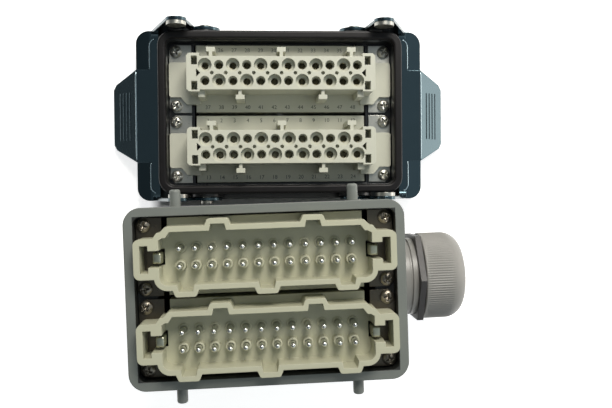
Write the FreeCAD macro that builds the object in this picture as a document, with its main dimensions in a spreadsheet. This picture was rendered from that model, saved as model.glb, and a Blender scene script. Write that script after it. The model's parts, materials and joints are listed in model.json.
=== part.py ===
import FreeCAD, Part
import os
import re

import Sketcher

# Heavy duty rectangular connector, 48 poles, in two halves that lie side by side.
# The bulkhead housing stands on its flange with both locking levers open. Beside it, towards -Y, the
# side entry hood lies on its back with the mouth up. Millimetres, +Z up, origin at the centre of the
# flange's bolt pattern on the mounting plane.

doc = FreeCAD.newDocument("RectangularConnector")

SIZES = {
    "housing": {
        "housing_length": 119.8, "housing_width": 79.6, "housing_corner": 7.5, "wall_top": 29.0,
        "opening_length": 111.4, "opening_width": 70.8, "opening_corner": 3.5,
        "seat_height": 19.5, "throat_length": 86.0, "throat_width": 68.8,
        "pocket_span": 107.0, "pocket_width": 16.0,
        "flange_length": 146.0, "flange_width": 85.0, "flange_thickness": 5.0, "flange_corner": 6.0,
        "bolt_spacing_long": 132.0, "bolt_spacing_short": 70.0, "bolt_hole_radius": 2.75,
    },
    "seals": {
        "seal_width": 4.0, "seal_height": 2.5, "seal_edge_round": 1.1,
        "flange_seal_length": 124.0, "flange_seal_width": 80.6, "flange_seal_band": 2.8,
        "flange_seal_depth": 1.5, "flange_seal_corner": 8.0,
    },
    "levers": {
        "pivot_place": 37.7, "pivot_height": 17.5, "pivot_radius": 2.0, "pivot_head_radius": 3.1,
        "pivot_head_height": 1.4, "boss_radius": 8.0, "boss_height": 1.5, "running_gap": 0.3,
        "fit_gap": 0.1, "lever_sheet": 1.6, "eye_radius": 7.5, "web_inner": 61.5, "web_outer": 73.2,
        "web_top": 13.0, "web_skirt": 5.0, "lever_corner": 6.5, "crease_place": 66.2, "crease_drop": 0.8,
        "fold_radius": 2.5, "tab_reach": 13.0, "tab_drop": 9.0, "tab_root_width": 47.0,
        "tab_tip_width": 32.0, "tab_corner": 1.8, "tab_rib_height": 0.35, "tab_rib_width": 24.0, "stud_place": 49.5,
        "stud_height": 39.8, "stud_radius": 4.65, "stud_length": 1.8, "stud_shank_radius": 1.5,
        "claw_radius": 4.9, "slope_foot": 68.3,
    },
    "inserts": {
        "insert_pitch": 35.0,
        "screw_spacing_long": 104.0, "screw_spacing_short": 27.0,
        "contact_pitch": 6.6, "row_spacing": 7.5, "base_length": 84.0, "base_width": 33.2,
        "base_depth": 14.5, "plate_thickness": 1.8, "plate_inner": 44.4, "plate_outer": 55.3,
        "plate_width": 33.6, "plate_chamfer": 2.5, "screw_hole_radius": 1.8, "screw_head_radius": 2.9,
        "screw_head_height": 2.3, "screw_shank_radius": 1.5, "screw_length": 9.0,
        "tapped_hole_radius": 1.55, "flange_level": 2.5,
    },
    "female insert": {
        "block_length": 79.6, "block_width": 15.8, "block_height": 18.5, "end_frame_length": 90.0,
        "end_frame_rear": 9.4, "end_frame_front": 8.8, "end_frame_chamfer": 1.2,
        "tongue_rear": 7.8, "tongue_front": 9.4, "tongue_thickness": 2.6, "tongue_reach": 55.2,
        "shoulder_length": 93.0, "shoulder_front": 13.0, "shoulder_slope": 3.0,
        "wide_recess_radius": 3.2, "narrow_recess_radius": 2.2, "recess_depth": 3.0,
        "chamber_radius": 1.75, "chamber_depth": 22.0, "contact_radius": 1.65, "contact_bore": 1.25,
        "contact_length": 18.0, "contact_sink": 0.4, "contact_bore_depth": 10.0,
        "vent_radius": 0.85, "vent_depth": 2.5,
        "key_bar_width": 4.2, "key_bar_depth": 2.2, "key_stem_width": 1.6, "key_stem_depth": 2.3,
        "pair_key_place": 19.8, "triple_key_place": 33.6, "key_drop": 1.0,
        "pocket_inner": 39.9, "pocket_outer": 42.7, "pocket_near": 3.9, "pocket_far": 8.0,
        "guard_pocket_depth": 9.0, "notch_inner": 38.4, "notch_outer": 40.4, "notch_half_width": 1.9,
        "lug_side": 3.2, "lug_drop": 3.0,
    },
    "male insert": {
        "shroud_length": 92.8, "shroud_width": 26.4, "shroud_wall": 2.2, "shroud_height": 12.8,
        "shroud_floor": 1.0, "shroud_corner": 5.5, "corner_step_along": 5.2, "corner_step_across": 4.6,
        "corner_step": 2.0, "loop_width": 16.8, "loop_reach": 54.6, "loop_corner": 2.6,
        "loop_wall": 2.6, "loop_eye_length": 3.4, "loop_eye_width": 11.2,
        "slot_width": 7.0, "slot_inner": 43.2, "rib_root": 10.8, "rib_tip": 8.4, "rib_depth": 2.8, "rib_round": 1.2,
        "pin_radius": 1.25, "pin_length": 11.0, "blade_width": 5.0, "blade_thickness": 0.9,
        "blade_place": 45.0, "blade_height": 8.5,
    },
    "hood": {
        "hood_place_long": -7.8, "hood_place_short": -82.65, "hood_turn": 1.5, "hood_length": 119.4,
        "hood_width": 77.6, "hood_height": 77.5, "hood_corner": 7.5, "hood_draft": 3.0,
        "hood_back_round": 7.0, "mouth_length": 111.2, "mouth_width": 69.6, "mouth_corner": 3.2,
        "mouth_depth": 7.3, "seat_span": 94.0, "insert_space_depth": 14.0, "cable_space_width": 62.0,
        "hood_back_wall": 4.5, "peg_place": 38.2, "peg_radius": 2.35, "peg_from_rim": 6.0,
        "peg_root": 35.8, "peg_reach": 46.0, "peg_end_round": 1.1,
    },
    "gland": {
        "gland_height": 35.0, "gland_boss_end": 62.5, "gland_boss_radius": 20.0,
        "gland_bore_radius": 16.3, "gland_thread_radius": 16.0, "cable_bore_radius": 11.5,
        "sealing_ring_thickness": 1.5, "sealing_ring_radius": 18.0, "collar_length": 6.6,
        "collar_radius": 18.6, "hex_across_flats": 40.0, "hex_length": 2.9, "cap_thread_radius": 17.2,
        "cap_thread_length": 8.0, "cap_radius": 20.8, "cap_length": 20.2, "cap_gap": 0.3,
        "cap_bore_radius": 17.5, "cap_mouth_radius": 11.5, "cap_end_wall": 2.5, "cap_end_round": 8.5,
        "claw_tip_radius": 15.0, "claw_slot_width": 1.6, "bush_radius": 13.4, "bush_bore": 9.5,
        "locknut_thickness": 5.5, "locknut_across_flats": 37.0,
    },
}

sheet = doc.addObject("Spreadsheet::Sheet", "Sizes")
value = {}
row = 0
for group, cells in SIZES.items():
    row += 1
    sheet.set("A%d" % row, group)
    for name, size in cells.items():
        row += 1
        sheet.set("A%d" % row, name)
        sheet.set("B%d" % row, str(size))
        sheet.setAlias("B%d" % row, name)
        value[name] = size
doc.recompute()


def bound(text):
    """An expression over the sheet, from one written with bare size names."""
    return re.sub(r"[a-z][a-z_]+", lambda m: "Sizes." + m.group(0) if m.group(0) in value else m.group(0), text)


def bind(thing, prop, text):
    thing.setExpression(prop, bound(text))


def new_body(name):
    body = doc.addObject("PartDesign::Body", name)
    body.Label = name
    return body


def sketch_on(body, name, role="XY_Plane", offset="0"):
    """An empty sketch on one of the body's origin planes, moved along its normal."""
    sketch = body.newObject("Sketcher::SketchObject", name)
    plane = [feature for feature in body.Origin.OriginFeatures if feature.Role == role][0]
    sketch.AttachmentSupport = [(plane, "")]
    sketch.MapMode = "FlatFace"
    bind(sketch, ".AttachmentOffset.Base.z", offset)
    return sketch


def at(sketch, x, y):
    return FreeCAD.Vector(float(sketch.evalExpression(bound(x))), float(sketch.evalExpression(bound(y))), 0)


def pin_points(sketch, joins, held):
    """Join edges end to end, and hold the listed (edge, end, x, y) points and (edge, radius) arcs."""
    constraints, texts = [Sketcher.Constraint("Coincident", *join) for join in joins], []
    for entry in held:
        if len(entry) == 2:
            edge, text = entry
            size = float(sketch.evalExpression(bound(text)))
            constraints.append(Sketcher.Constraint("Radius", edge, size))
            texts.append(text)
            continue
        edge, end, x, y = entry
        point = at(sketch, x, y)
        constraints.append(Sketcher.Constraint("DistanceX", edge, end, point.x))
        constraints.append(Sketcher.Constraint("DistanceY", edge, end, point.y))
        texts += [x, y]
    indices = sketch.addConstraint(constraints)
    for index, text in zip(indices[len(joins):], texts):
        sketch.setExpression("Constraints[%d]" % index, bound(text))


def polygon(sketch, points):
    """A closed outline of straight edges through points written as size expressions."""
    first = sketch.GeometryCount
    places = [at(sketch, x, y) for x, y in points]
    total = len(points)
    edges = [Part.LineSegment(places[k], places[(k + 1) % total]) for k in range(total)]
    sketch.addGeometry(edges, False)
    joins = [(first + k, 2, first + (k + 1) % total, 1) for k in range(total)]
    pin_points(sketch, joins, [(first + k, 1, x, y) for k, (x, y) in enumerate(points)])


def rectangle(sketch, left, right, bottom, top):
    polygon(sketch, [(left, bottom), (right, bottom), (right, top), (left, top)])


def circles(sketch, places, radius):
    """Circles of one radius at x, y places written as size expressions."""
    size = float(sketch.evalExpression(bound(radius)))
    first = sketch.GeometryCount
    up = FreeCAD.Vector(0, 0, 1)
    sketch.addGeometry([Part.Circle(at(sketch, x, y), up, size) for x, y in places], False)
    held = []
    for k, (x, y) in enumerate(places):
        held += [(first + k, 3, x, y), (first + k, radius)]
    pin_points(sketch, [], held)


def circle(sketch, x, y, radius):
    circles(sketch, [(x, y)], radius)


def rounded_rectangle(sketch, length, width, radius):
    """A centred rectangle with four corner arcs."""
    half_x, half_y, radius = "(%s) / 2" % length, "(%s) / 2" % width, "(%s)" % radius
    size = float(sketch.evalExpression(bound(radius)))
    corners, ends = ((1, 1), (-1, 1), (-1, -1), (1, -1)), []
    for turn, (sx, sy) in enumerate(corners):
        flat = ("%d * (%s - %s)" % (sx, half_x, radius), "%d * %s" % (sy, half_y))
        upright = ("%d * %s" % (sx, half_x), "%d * (%s - %s)" % (sy, half_y, radius))
        ends.append((flat, upright) if turn % 2 else (upright, flat))
    first, edges, joins, held = sketch.GeometryCount, [], [], []
    for k, (start, stop) in enumerate(ends):
        sx, sy = corners[k]
        centre = at(sketch, "%d * (%s - %s)" % (sx, half_x, radius), "%d * (%s - %s)" % (sy, half_y, radius))
        middle = centre + FreeCAD.Vector(sx, sy, 0).normalize() * size
        edges.append(Part.Arc(at(sketch, *start), middle, at(sketch, *stop)))
        edges.append(Part.LineSegment(at(sketch, *stop), at(sketch, *ends[(k + 1) % 4][0])))
        arc, line, following = first + 2 * k, first + 2 * k + 1, first + 2 * ((k + 1) % 4)
        joins += [(arc, 2, line, 1), (line, 2, following, 1)]
        held += [(arc, 1) + start, (arc, 2) + stop, (arc, radius)]
    sketch.addGeometry(edges, False)
    pin_points(sketch, joins, held)


def pad(body, sketch, length, reverse=False, both=False):
    feature = body.newObject("PartDesign::Pad", sketch.Name + "_pad")
    feature.Profile = sketch
    bind(feature, "Length", length)
    feature.Reversed = reverse
    feature.Midplane = both
    return feature


def pocket(body, sketch, depth, up=False, both=False):
    """A cut along the sketch's normal: downwards, upwards, or half each way."""
    doc.recompute()
    before = body.Tip.Shape.Volume
    feature = body.newObject("PartDesign::Pocket", sketch.Name + "_cut")
    feature.Profile = sketch
    bind(feature, "Length", depth)
    feature.Reversed = up
    feature.Midplane = both
    doc.recompute()
    if feature.Shape.Volume > before - 0.001:
        raise RuntimeError("%s removes nothing" % feature.Name)
    return feature


def edges_where(shape, test):
    return ["Edge%d" % (k + 1) for k, edge in enumerate(shape.Edges) if test(edge)]


def fillet(body, name, radius, test):
    doc.recompute()
    base = body.Tip
    chosen = edges_where(base.Shape, test)
    if not chosen:
        raise RuntimeError("%s finds no edge" % name)
    feature = body.newObject("PartDesign::Fillet", name)
    feature.Base = (base, chosen)
    bind(feature, "Radius", radius)
    return feature


def upright_at(edge, x, y, reach=0.05):
    """True for a vertical edge that stands at x, y, whichever side of the middle."""
    ends = [vertex.Point for vertex in edge.Vertexes]
    if len(ends) != 2 or abs(ends[0].z - ends[1].z) < 0.5:
        return False
    return all(abs(abs(p.x) - x) < reach and abs(abs(p.y) - y) < reach for p in ends)


def flat_at(edge, z, reach=0.02):
    box = edge.BoundBox
    return abs(box.ZMin - z) < reach and abs(box.ZMax - z) < reach


def place(body, x, y, z, half_turn=False, on_hood=False):
    """Put a body at x, y, z of the housing, or of the hood, which lies turned beside it."""
    if on_hood:
        along, across = "(%s)" % x, "(%s)" % y
        bind(body, "Placement.Base.x",
             "hood_place_long + %s * cos(hood_turn) - %s * sin(hood_turn)" % (along, across))
        bind(body, "Placement.Base.y",
             "hood_place_short + %s * sin(hood_turn) + %s * cos(hood_turn)" % (along, across))
        bind(body, "Placement.Rotation.Angle", "hood_turn")
    else:
        bind(body, "Placement.Base.x", x)
        bind(body, "Placement.Base.y", y)
        if half_turn:
            body.Placement.Rotation = FreeCAD.Rotation(FreeCAD.Vector(0, 0, 1), 180)
    bind(body, "Placement.Base.z", z)


parts = []


def finish(body, x="0", y="0", z="0", half_turn=False, on_hood=False):
    doc.recompute()
    place(body, x, y, z, half_turn, on_hood)
    parts.append(body)


SCREW_PLACES = [("%d * screw_spacing_long / 2" % sx, "%d * screw_spacing_short / 2" % sy)
                for sx in (-1, 1) for sy in (-1, 1)]
FOUR_SIGNS = [(-1, -1), (1, -1), (1, 1), (-1, 1)]
ROW_SIDES = {"rear": "1", "front": "-1"}
LEVER_FACE = "housing_width / 2 + boss_height + running_gap"


# Bulkhead housing: flange, wall, pivot bosses, insert seats and throat

def housing_body():
    body = new_body("housing_body")
    outline = sketch_on(body, "flange_outline")
    rounded_rectangle(outline, "flange_length", "flange_width", "flange_corner")
    pad(body, outline, "flange_thickness")
    wall = sketch_on(body, "wall_outline")
    rounded_rectangle(wall, "housing_length", "housing_width", "housing_corner")
    pad(body, wall, "wall_top")
    bosses = sketch_on(body, "pivot_bosses", "XZ_Plane")
    for side in (-1, 1):
        circle(bosses, "%d * pivot_place" % side, "pivot_height", "boss_radius")
    pad(body, bosses, "housing_width + 2 * boss_height", both=True)
    mouth = sketch_on(body, "mouth_outline", offset="wall_top")
    rounded_rectangle(mouth, "opening_length", "opening_width", "opening_corner")
    pocket(body, mouth, "wall_top - seat_height")
    throat = sketch_on(body, "throat_outline", offset="seat_height")
    rectangle(throat, "-throat_length / 2", "throat_length / 2", "-throat_width / 2", "throat_width / 2")
    pocket(body, throat, "seat_height")
    pockets = sketch_on(body, "core_pockets", offset="seat_height")
    for sy in (-1, 1):
        middle = "%d * insert_pitch / 2" % sy
        rectangle(pockets, "-pocket_span / 2", "pocket_span / 2", middle + " - pocket_width / 2",
                  middle + " + pocket_width / 2")
    pocket(body, pockets, "seat_height")
    bolts = sketch_on(body, "bolt_holes", offset="flange_thickness")
    circles(bolts, [("%d * bolt_spacing_long / 2" % sx, "%d * bolt_spacing_short / 2" % sy)
                    for sx, sy in FOUR_SIGNS], "bolt_hole_radius")
    pocket(body, bolts, "flange_thickness")
    tapped = sketch_on(body, "tapped_holes", offset="seat_height")
    for side in ROW_SIDES.values():
        for x, y in SCREW_PLACES:
            circle(tapped, x, "%s * insert_pitch / 2 + %s" % (side, y), "tapped_hole_radius")
    pocket(body, tapped, "screw_length")
    rivets = sketch_on(body, "rivet_holes", "XZ_Plane")
    for side in (-1, 1):
        circle(rivets, "%d * pivot_place" % side, "pivot_height", "pivot_radius + fit_gap / 5")
    pocket(body, rivets, "housing_width + 2 * boss_height + 2", both=True)
    groove = sketch_on(body, "flange_groove")
    rounded_rectangle(groove, "flange_seal_length", "flange_seal_width", "flange_seal_corner")
    rounded_rectangle(groove, "flange_seal_length - 2 * flange_seal_band",
                      "flange_seal_width - 2 * flange_seal_band", "flange_seal_corner - flange_seal_band")
    pocket(body, groove, "flange_seal_depth", up=True)
    finish(body)


def ring_body(name, length, width, corner, band, height):
    """A closed rubber ring of constant band width that follows a rounded rectangle."""
    body = new_body(name)
    outline = sketch_on(body, name + "_outline")
    rounded_rectangle(outline, length, width, corner)
    rounded_rectangle(outline, "%s - 2 * %s" % (length, band), "%s - 2 * %s" % (width, band),
                      "%s - %s" % (corner, band))
    pad(body, outline, height)
    return body


def seals():
    crown = ring_body("housing_seal", "housing_length - 0.2", "housing_width - 0.2", "housing_corner",
                      "seal_width", "seal_height")
    fillet(crown, "seal_crown", "seal_edge_round", lambda edge: flat_at(edge, value["seal_height"]))
    finish(crown, z="wall_top")
    finish(ring_body("flange_seal", "flange_seal_length", "flange_seal_width", "flange_seal_corner",
                     "flange_seal_band", "flange_seal_depth"))


# Locking levers: one pressed sheet each, with a stud in each claw and a rivet as its pivot

def lever(name, half_turn):
    body = new_body(name)
    side = sketch_on(body, name + "_side", "XZ_Plane")
    polygon(side, [
        ("-web_outer", "web_top - web_skirt"), ("-web_outer", "web_top - crease_drop"),
        ("-crease_place", "web_top"), ("-slope_foot + 3", "web_top"),
        ("-stud_place - claw_radius * 0.95", "stud_height + claw_radius * 0.31"),
        ("-stud_place + claw_radius * 0.95", "stud_height - claw_radius * 0.31"),
        ("-pivot_place - eye_radius * 0.64", "pivot_height + eye_radius * 0.77"),
        ("-pivot_place", "pivot_height - eye_radius"),
    ])
    outside = "2 * (%s + lever_sheet)" % LEVER_FACE
    pad(body, side, outside, both=True)
    for label, x, z, radius in (("eye", "-pivot_place", "pivot_height", "eye_radius"),
                                ("claw", "-stud_place", "stud_height", "claw_radius")):
        disc = sketch_on(body, "%s_%s" % (name, label), "XZ_Plane")
        circle(disc, x, z, radius)
        pad(body, disc, outside, both=True)
    outer_x = value["web_outer"]
    outer_y = value["housing_width"] / 2 + value["boss_height"] + value["running_gap"] + value["lever_sheet"]
    fillet(body, name + "_corners", "lever_corner", lambda edge: upright_at(edge, outer_x, outer_y))
    inside = "(%s)" % LEVER_FACE
    under = sketch_on(body, name + "_under", offset="web_top - lever_sheet - crease_drop / 2")
    rectangle(under, "-web_outer + lever_sheet", "0", "-" + inside, inside)
    pocket(body, under, "web_top")
    through = sketch_on(body, name + "_through", offset="web_top")
    rectangle(through, "-web_inner", "0", "-" + inside, inside)
    pocket(body, through, "web_top")
    above = sketch_on(body, name + "_above", offset="web_top")
    rectangle(above, "-web_outer", "0", "-" + inside, inside)
    pocket(body, above, "stud_height + claw_radius", up=True)
    for edge_side in (-1, 1):
        face = edge_side * (outer_y - value["lever_sheet"])
        fillet(body, "%s_fold_%s" % (name, "front" if edge_side < 0 else "rear"), "fold_radius",
               lambda edge: flat_at(edge, value["web_top"]) and abs(edge.BoundBox.YMin - face) < 0.02
               and edge.BoundBox.YLength < 0.02 and edge.BoundBox.XLength > 1)
    tab = sketch_on(body, name + "_tab", "XZ_Plane")
    polygon(tab, [("-web_outer + lever_sheet", "web_top"), ("-web_outer", "web_top"),
                  ("-web_outer - tab_reach", "web_top - tab_drop"),
                  ("-web_outer - tab_reach", "web_top - tab_drop - lever_sheet * 1.3"),
                  ("-web_outer + lever_sheet", "web_top - lever_sheet")])
    pad(body, tab, "tab_root_width", both=True)
    level = sketch_on(body, name + "_tab_level", "XZ_Plane")
    polygon(level, [("-crease_place + 0.5", "web_top"), ("-web_outer", "web_top"),
                    ("-web_outer", "web_top - crease_drop - 0.1"), ("-crease_place + 0.5", "web_top - 0.1")])
    pad(body, level, "tab_root_width", both=True)
    ribs = sketch_on(body, name + "_tab_ribs", "XZ_Plane")
    for share in (0.28, 0.42, 0.56, 0.70):
        along, half = "tab_reach * %s" % share, "tab_reach * 0.03"
        down = "web_top - tab_drop * %s" % share
        polygon(ribs, [("-web_outer - %s - %s" % (along, half), down + " - 0.5"),
                       ("-web_outer - %s + %s" % (along, half), down + " - 0.5"),
                       ("-web_outer - %s" % along, down + " + tab_rib_height")])
    pad(body, ribs, "tab_rib_width", both=True)
    sides = sketch_on(body, name + "_tab_sides", offset="web_top + 1")
    for sy in (-1, 1):
        root, tip = "%d * tab_root_width / 2" % sy, "%d * (tab_tip_width / 2 - tab_corner)" % sy
        slant = "%d * (tab_tip_width + 0.12 * (tab_root_width - tab_tip_width)) / 2" % sy
        polygon(sides, [("-web_outer", root), ("-web_outer - tab_reach - 1", root),
                        ("-web_outer - tab_reach - 1", tip), ("-web_outer - tab_reach", tip),
                        ("-web_outer - tab_reach * 0.88", slant)])
    pocket(body, sides, "web_top")
    holes = sketch_on(body, name + "_holes", "XZ_Plane")
    circle(holes, "-pivot_place", "pivot_height", "pivot_radius + fit_gap")
    circle(holes, "-stud_place", "stud_height", "stud_shank_radius")
    pocket(body, holes, outside + " + 2", both=True)
    finish(body, half_turn=half_turn)


def cylinder(name, radius, height, x, y, z, axis=(0, 0, 1)):
    """A plain turned length, placed by size expressions."""
    rod = doc.addObject("Part::Cylinder", name)
    bind(rod, "Radius", radius)
    bind(rod, "Height", height)
    rod.Placement.Rotation = FreeCAD.Rotation(FreeCAD.Vector(0, 0, 1), FreeCAD.Vector(*axis))
    bind(rod, "Placement.Base.x", x)
    bind(rod, "Placement.Base.y", y)
    bind(rod, "Placement.Base.z", z)
    return rod


def fuse(name, pieces):
    joined = doc.addObject("Part::MultiFuse", name)
    joined.Shapes = pieces
    joined.Label = name
    return joined


def group(name, pieces):
    together = doc.addObject("Part::Compound", name)
    together.Links = pieces
    together.Label = name
    return together


def pivot_rivets():
    rivets = []
    face = "%s + lever_sheet + running_gap / 3" % LEVER_FACE
    for k, (sx, sy) in enumerate(FOUR_SIGNS):
        x, axis = "%d * pivot_place" % sx, (0, sy, 0)
        shank = cylinder("rivet_shank_%d" % k, "pivot_radius", "%s - opening_width / 2" % face, x,
                         "%d * opening_width / 2" % sy, "pivot_height", axis)
        head = cylinder("rivet_head_%d" % k, "pivot_head_radius", "pivot_head_height", x,
                        "%d * (%s)" % (sy, face), "pivot_height", axis)
        rivets.append(fuse("rivet_%d" % k, [shank, head]))
    finish(group("pivot_rivets", rivets))


def lever_studs(name, sx):
    studs = []
    for sy in (-1, 1):
        x, axis, tag = "%d * stud_place" % sx, (0, sy, 0), "%s_%d" % (name, sy + 1)
        head = cylinder(tag + "_head", "stud_radius", "stud_length", x,
                        "%d * (%s - stud_length)" % (sy, LEVER_FACE), "stud_height", axis)
        shank = cylinder(tag + "_shank", "stud_shank_radius", "lever_sheet + 0.3", x,
                         "%d * (%s)" % (sy, LEVER_FACE), "stud_height", axis)
        studs.append(fuse(tag, [head, shank]))
    finish(group(name, studs))


# Female insert: a base, and on it the mating block with wide and narrow recesses, end frames and T keys

def contact_places():
    for column in range(12):
        for level in (-1, 1):
            yield column, level, "%s * contact_pitch" % (column - 5.5), "%d * row_spacing / 2" % level


def contact_chambers(body, name):
    chambers = sketch_on(body, name + "_chambers", offset="flange_level + block_height")
    circles(chambers, [(x, y) for column, level, x, y in contact_places()], "chamber_radius")
    pocket(body, chambers, "chamber_depth")


def female_base(side):
    """The lower moulding: a base that hangs in the throat, with a tongue on each end's earth plate."""
    name = "female_base_" + side
    body = new_body(name)
    base = sketch_on(body, name + "_outline", offset="flange_level")
    rectangle(base, "-base_length / 2", "base_length / 2", "-base_width / 2", "base_width / 2")
    pad(body, base, "base_depth + flange_level", reverse=True)
    tongue = sketch_on(body, name + "_tongue", offset="plate_thickness")
    for sx in (-1, 1):
        root, reach = "%d * block_length / 2" % sx, "%d * tongue_reach" % sx
        near, bend = "%d * (tongue_reach - 0.8)" % sx, "%d * shoulder_length / 2" % sx
        foot = "%d * (shoulder_length / 2 + shoulder_slope)" % sx
        polygon(tongue, [(root, "-shoulder_front"), (bend, "-shoulder_front"), (foot, "-tongue_front"),
                         (near, "-tongue_front"), (reach, "0.8 - tongue_front"),
                         (reach, "tongue_rear - 0.8"), (near, "tongue_rear"), (bend, "tongue_rear"),
                         ("%d * end_frame_length / 2" % sx, "end_frame_rear"), (root, "end_frame_rear")])
    pad(body, tongue, "tongue_thickness")
    contact_chambers(body, name)
    finish(body, y="%s * insert_pitch / 2" % ROW_SIDES[side], z="seat_height")


def female_insert(side):
    """The upper moulding: the mating block, with an end frame that stands on each tongue."""
    name = "female_insert_" + side
    body = new_body(name)
    block = sketch_on(body, name + "_block", offset="flange_level")
    rectangle(block, "-block_length / 2", "block_length / 2", "-block_width / 2", "block_width / 2")
    pad(body, block, "block_height")
    frame = sketch_on(body, name + "_frame", offset="plate_thickness + tongue_thickness")
    for sx in (-1, 1):
        root, reach = "%d * (block_length / 2 - 1)" % sx, "%d * end_frame_length / 2" % sx
        near = "%d * (end_frame_length / 2 - end_frame_chamfer)" % sx
        polygon(frame, [(root, "-end_frame_front"), (near, "-end_frame_front"),
                        (reach, "end_frame_chamfer - end_frame_front"),
                        (reach, "end_frame_rear - end_frame_chamfer"), (near, "end_frame_rear"),
                        (root, "end_frame_rear")])
    pad(body, frame, "flange_level + block_height - plate_thickness - tongue_thickness")
    keys = sketch_on(body, name + "_keys", offset="flange_level")
    key_places = [(1, "%d * triple_key_place" % k) for k in (-1, 0, 1)]
    key_places += [(-1, "%d * pair_key_place" % k) for k in (-1, 1)]
    for sy, x in key_places:
        near = "%d * (block_width / 2 - 0.5)" % sy
        bend = "%d * (block_width / 2 + key_stem_depth)" % sy
        far = "%d * (block_width / 2 + key_stem_depth + key_bar_depth)" % sy
        polygon(keys, [("%s - key_stem_width / 2" % x, near), ("%s + key_stem_width / 2" % x, near),
                       ("%s + key_stem_width / 2" % x, bend), ("%s + key_bar_width / 2" % x, bend),
                       ("%s + key_bar_width / 2" % x, far), ("%s - key_bar_width / 2" % x, far),
                       ("%s - key_bar_width / 2" % x, bend), ("%s - key_stem_width / 2" % x, bend)])
    pad(body, keys, "block_height - key_drop")
    lugs = sketch_on(body, name + "_lugs", offset="flange_level")
    for sx in (-1, 1):
        rectangle(lugs, "%d * (block_length / 2 - lug_side)" % sx, "%d * block_length / 2" % sx,
                  "-block_width / 2 - lug_side", "-block_width / 2 + 0.5")
    pad(body, lugs, "block_height - lug_drop")
    guards = sketch_on(body, name + "_guards", offset="flange_level + block_height")
    for sx, sy in FOUR_SIGNS:
        rectangle(guards, "%d * pocket_inner" % sx, "%d * pocket_outer" % sx,
                  "%d * pocket_near" % sy, "%d * pocket_far" % sy)
    for sx in (-1, 1):
        notch_base = "%d * notch_outer" % sx
        polygon(guards, [(notch_base, "-notch_half_width"), (notch_base, "notch_half_width"),
                         ("%d * notch_inner" % sx, "0")])
    pocket(body, guards, "guard_pocket_depth")
    for label, wanted, radius in (("wide", 0, "wide_recess_radius"), ("narrow", 1, "narrow_recess_radius")):
        recess = sketch_on(body, "%s_%s" % (name, label), offset="flange_level + block_height")
        circles(recess, [(x, y) for column, level, x, y in contact_places()
                         if (column + (level < 0)) % 2 == wanted], radius)
        pocket(body, recess, "recess_depth")
    vents = sketch_on(body, name + "_vents", offset="flange_level + block_height")
    circles(vents, [("%d * contact_pitch" % k, "0") for k in range(-5, 6)], "vent_radius")
    pocket(body, vents, "vent_depth")
    contact_chambers(body, name)
    finish(body, y="%s * insert_pitch / 2" % ROW_SIDES[side], z="seat_height")


def female_contacts(side):
    name = "female_contacts_" + side
    body = new_body(name)
    body.AllowCompound = True
    rim = "flange_level + block_height - recess_depth - contact_sink"
    barrels = sketch_on(body, name + "_barrels", offset=rim)
    circles(barrels, [(x, y) for column, level, x, y in contact_places()], "contact_radius")
    pad(body, barrels, "contact_length", reverse=True)
    bores = sketch_on(body, name + "_bores", offset=rim)
    circles(bores, [(x, y) for column, level, x, y in contact_places()], "contact_bore")
    pocket(body, bores, "contact_bore_depth")
    finish(body, y="%s * insert_pitch / 2" % ROW_SIDES[side], z="seat_height")


# Earth plates and mounting screws, the same on both halves

def earth_plates(name, y, z, on_hood, blades):
    body = new_body(name)
    body.AllowCompound = True
    outline = sketch_on(body, name + "_outline")
    for sx in (-1, 1):
        inner, outer = "%d * plate_inner" % sx, "%d * plate_outer" % sx
        near = "%d * (plate_outer - plate_chamfer)" % sx
        polygon(outline, [(inner, "-plate_width / 2"), (near, "-plate_width / 2"),
                          (outer, "-plate_width / 2 + plate_chamfer"),
                          (outer, "plate_width / 2 - plate_chamfer"),
                          (near, "plate_width / 2"), (inner, "plate_width / 2")])
    pad(body, outline, "plate_thickness")
    if blades:
        strip = sketch_on(body, name + "_blades", "XZ_Plane")
        for sx in (-1, 1):
            polygon(strip, [("%d * (plate_inner + 1)" % sx, "0"), ("%d * blade_place" % sx, "0"),
                            ("%d * blade_place" % sx, "plate_thickness + blade_height"),
                            ("%d * (blade_place + blade_thickness)" % sx, "plate_thickness + blade_height"),
                            ("%d * (blade_place + blade_thickness)" % sx, "plate_thickness"),
                            ("%d * (plate_inner + 1)" % sx, "plate_thickness")])
        pad(body, strip, "blade_width", both=True)
    holes = sketch_on(body, name + "_holes", offset="plate_thickness")
    for x, hole_y in SCREW_PLACES:
        circle(holes, x, hole_y, "screw_hole_radius")
    pocket(body, holes, "plate_thickness")
    finish(body, y=y, z=z, on_hood=on_hood)


def mounting_screws(name, y, z, on_hood):
    screws = []
    for k, (x, screw_y) in enumerate(SCREW_PLACES):
        tag = "%s_%d" % (name, k)
        head = cylinder(tag + "_head", "screw_head_radius", "screw_head_height", x, screw_y, "plate_thickness")
        shank = cylinder(tag + "_shank", "screw_shank_radius", "screw_length - 1 + plate_thickness", x, screw_y,
                         "1 - screw_length")
        screws.append(fuse(tag, [head, shank]))
    finish(group(name, screws), y=y, z=z, on_hood=on_hood)


# Male insert: base, keyed shroud with an end loop at each end, and its pins

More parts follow.
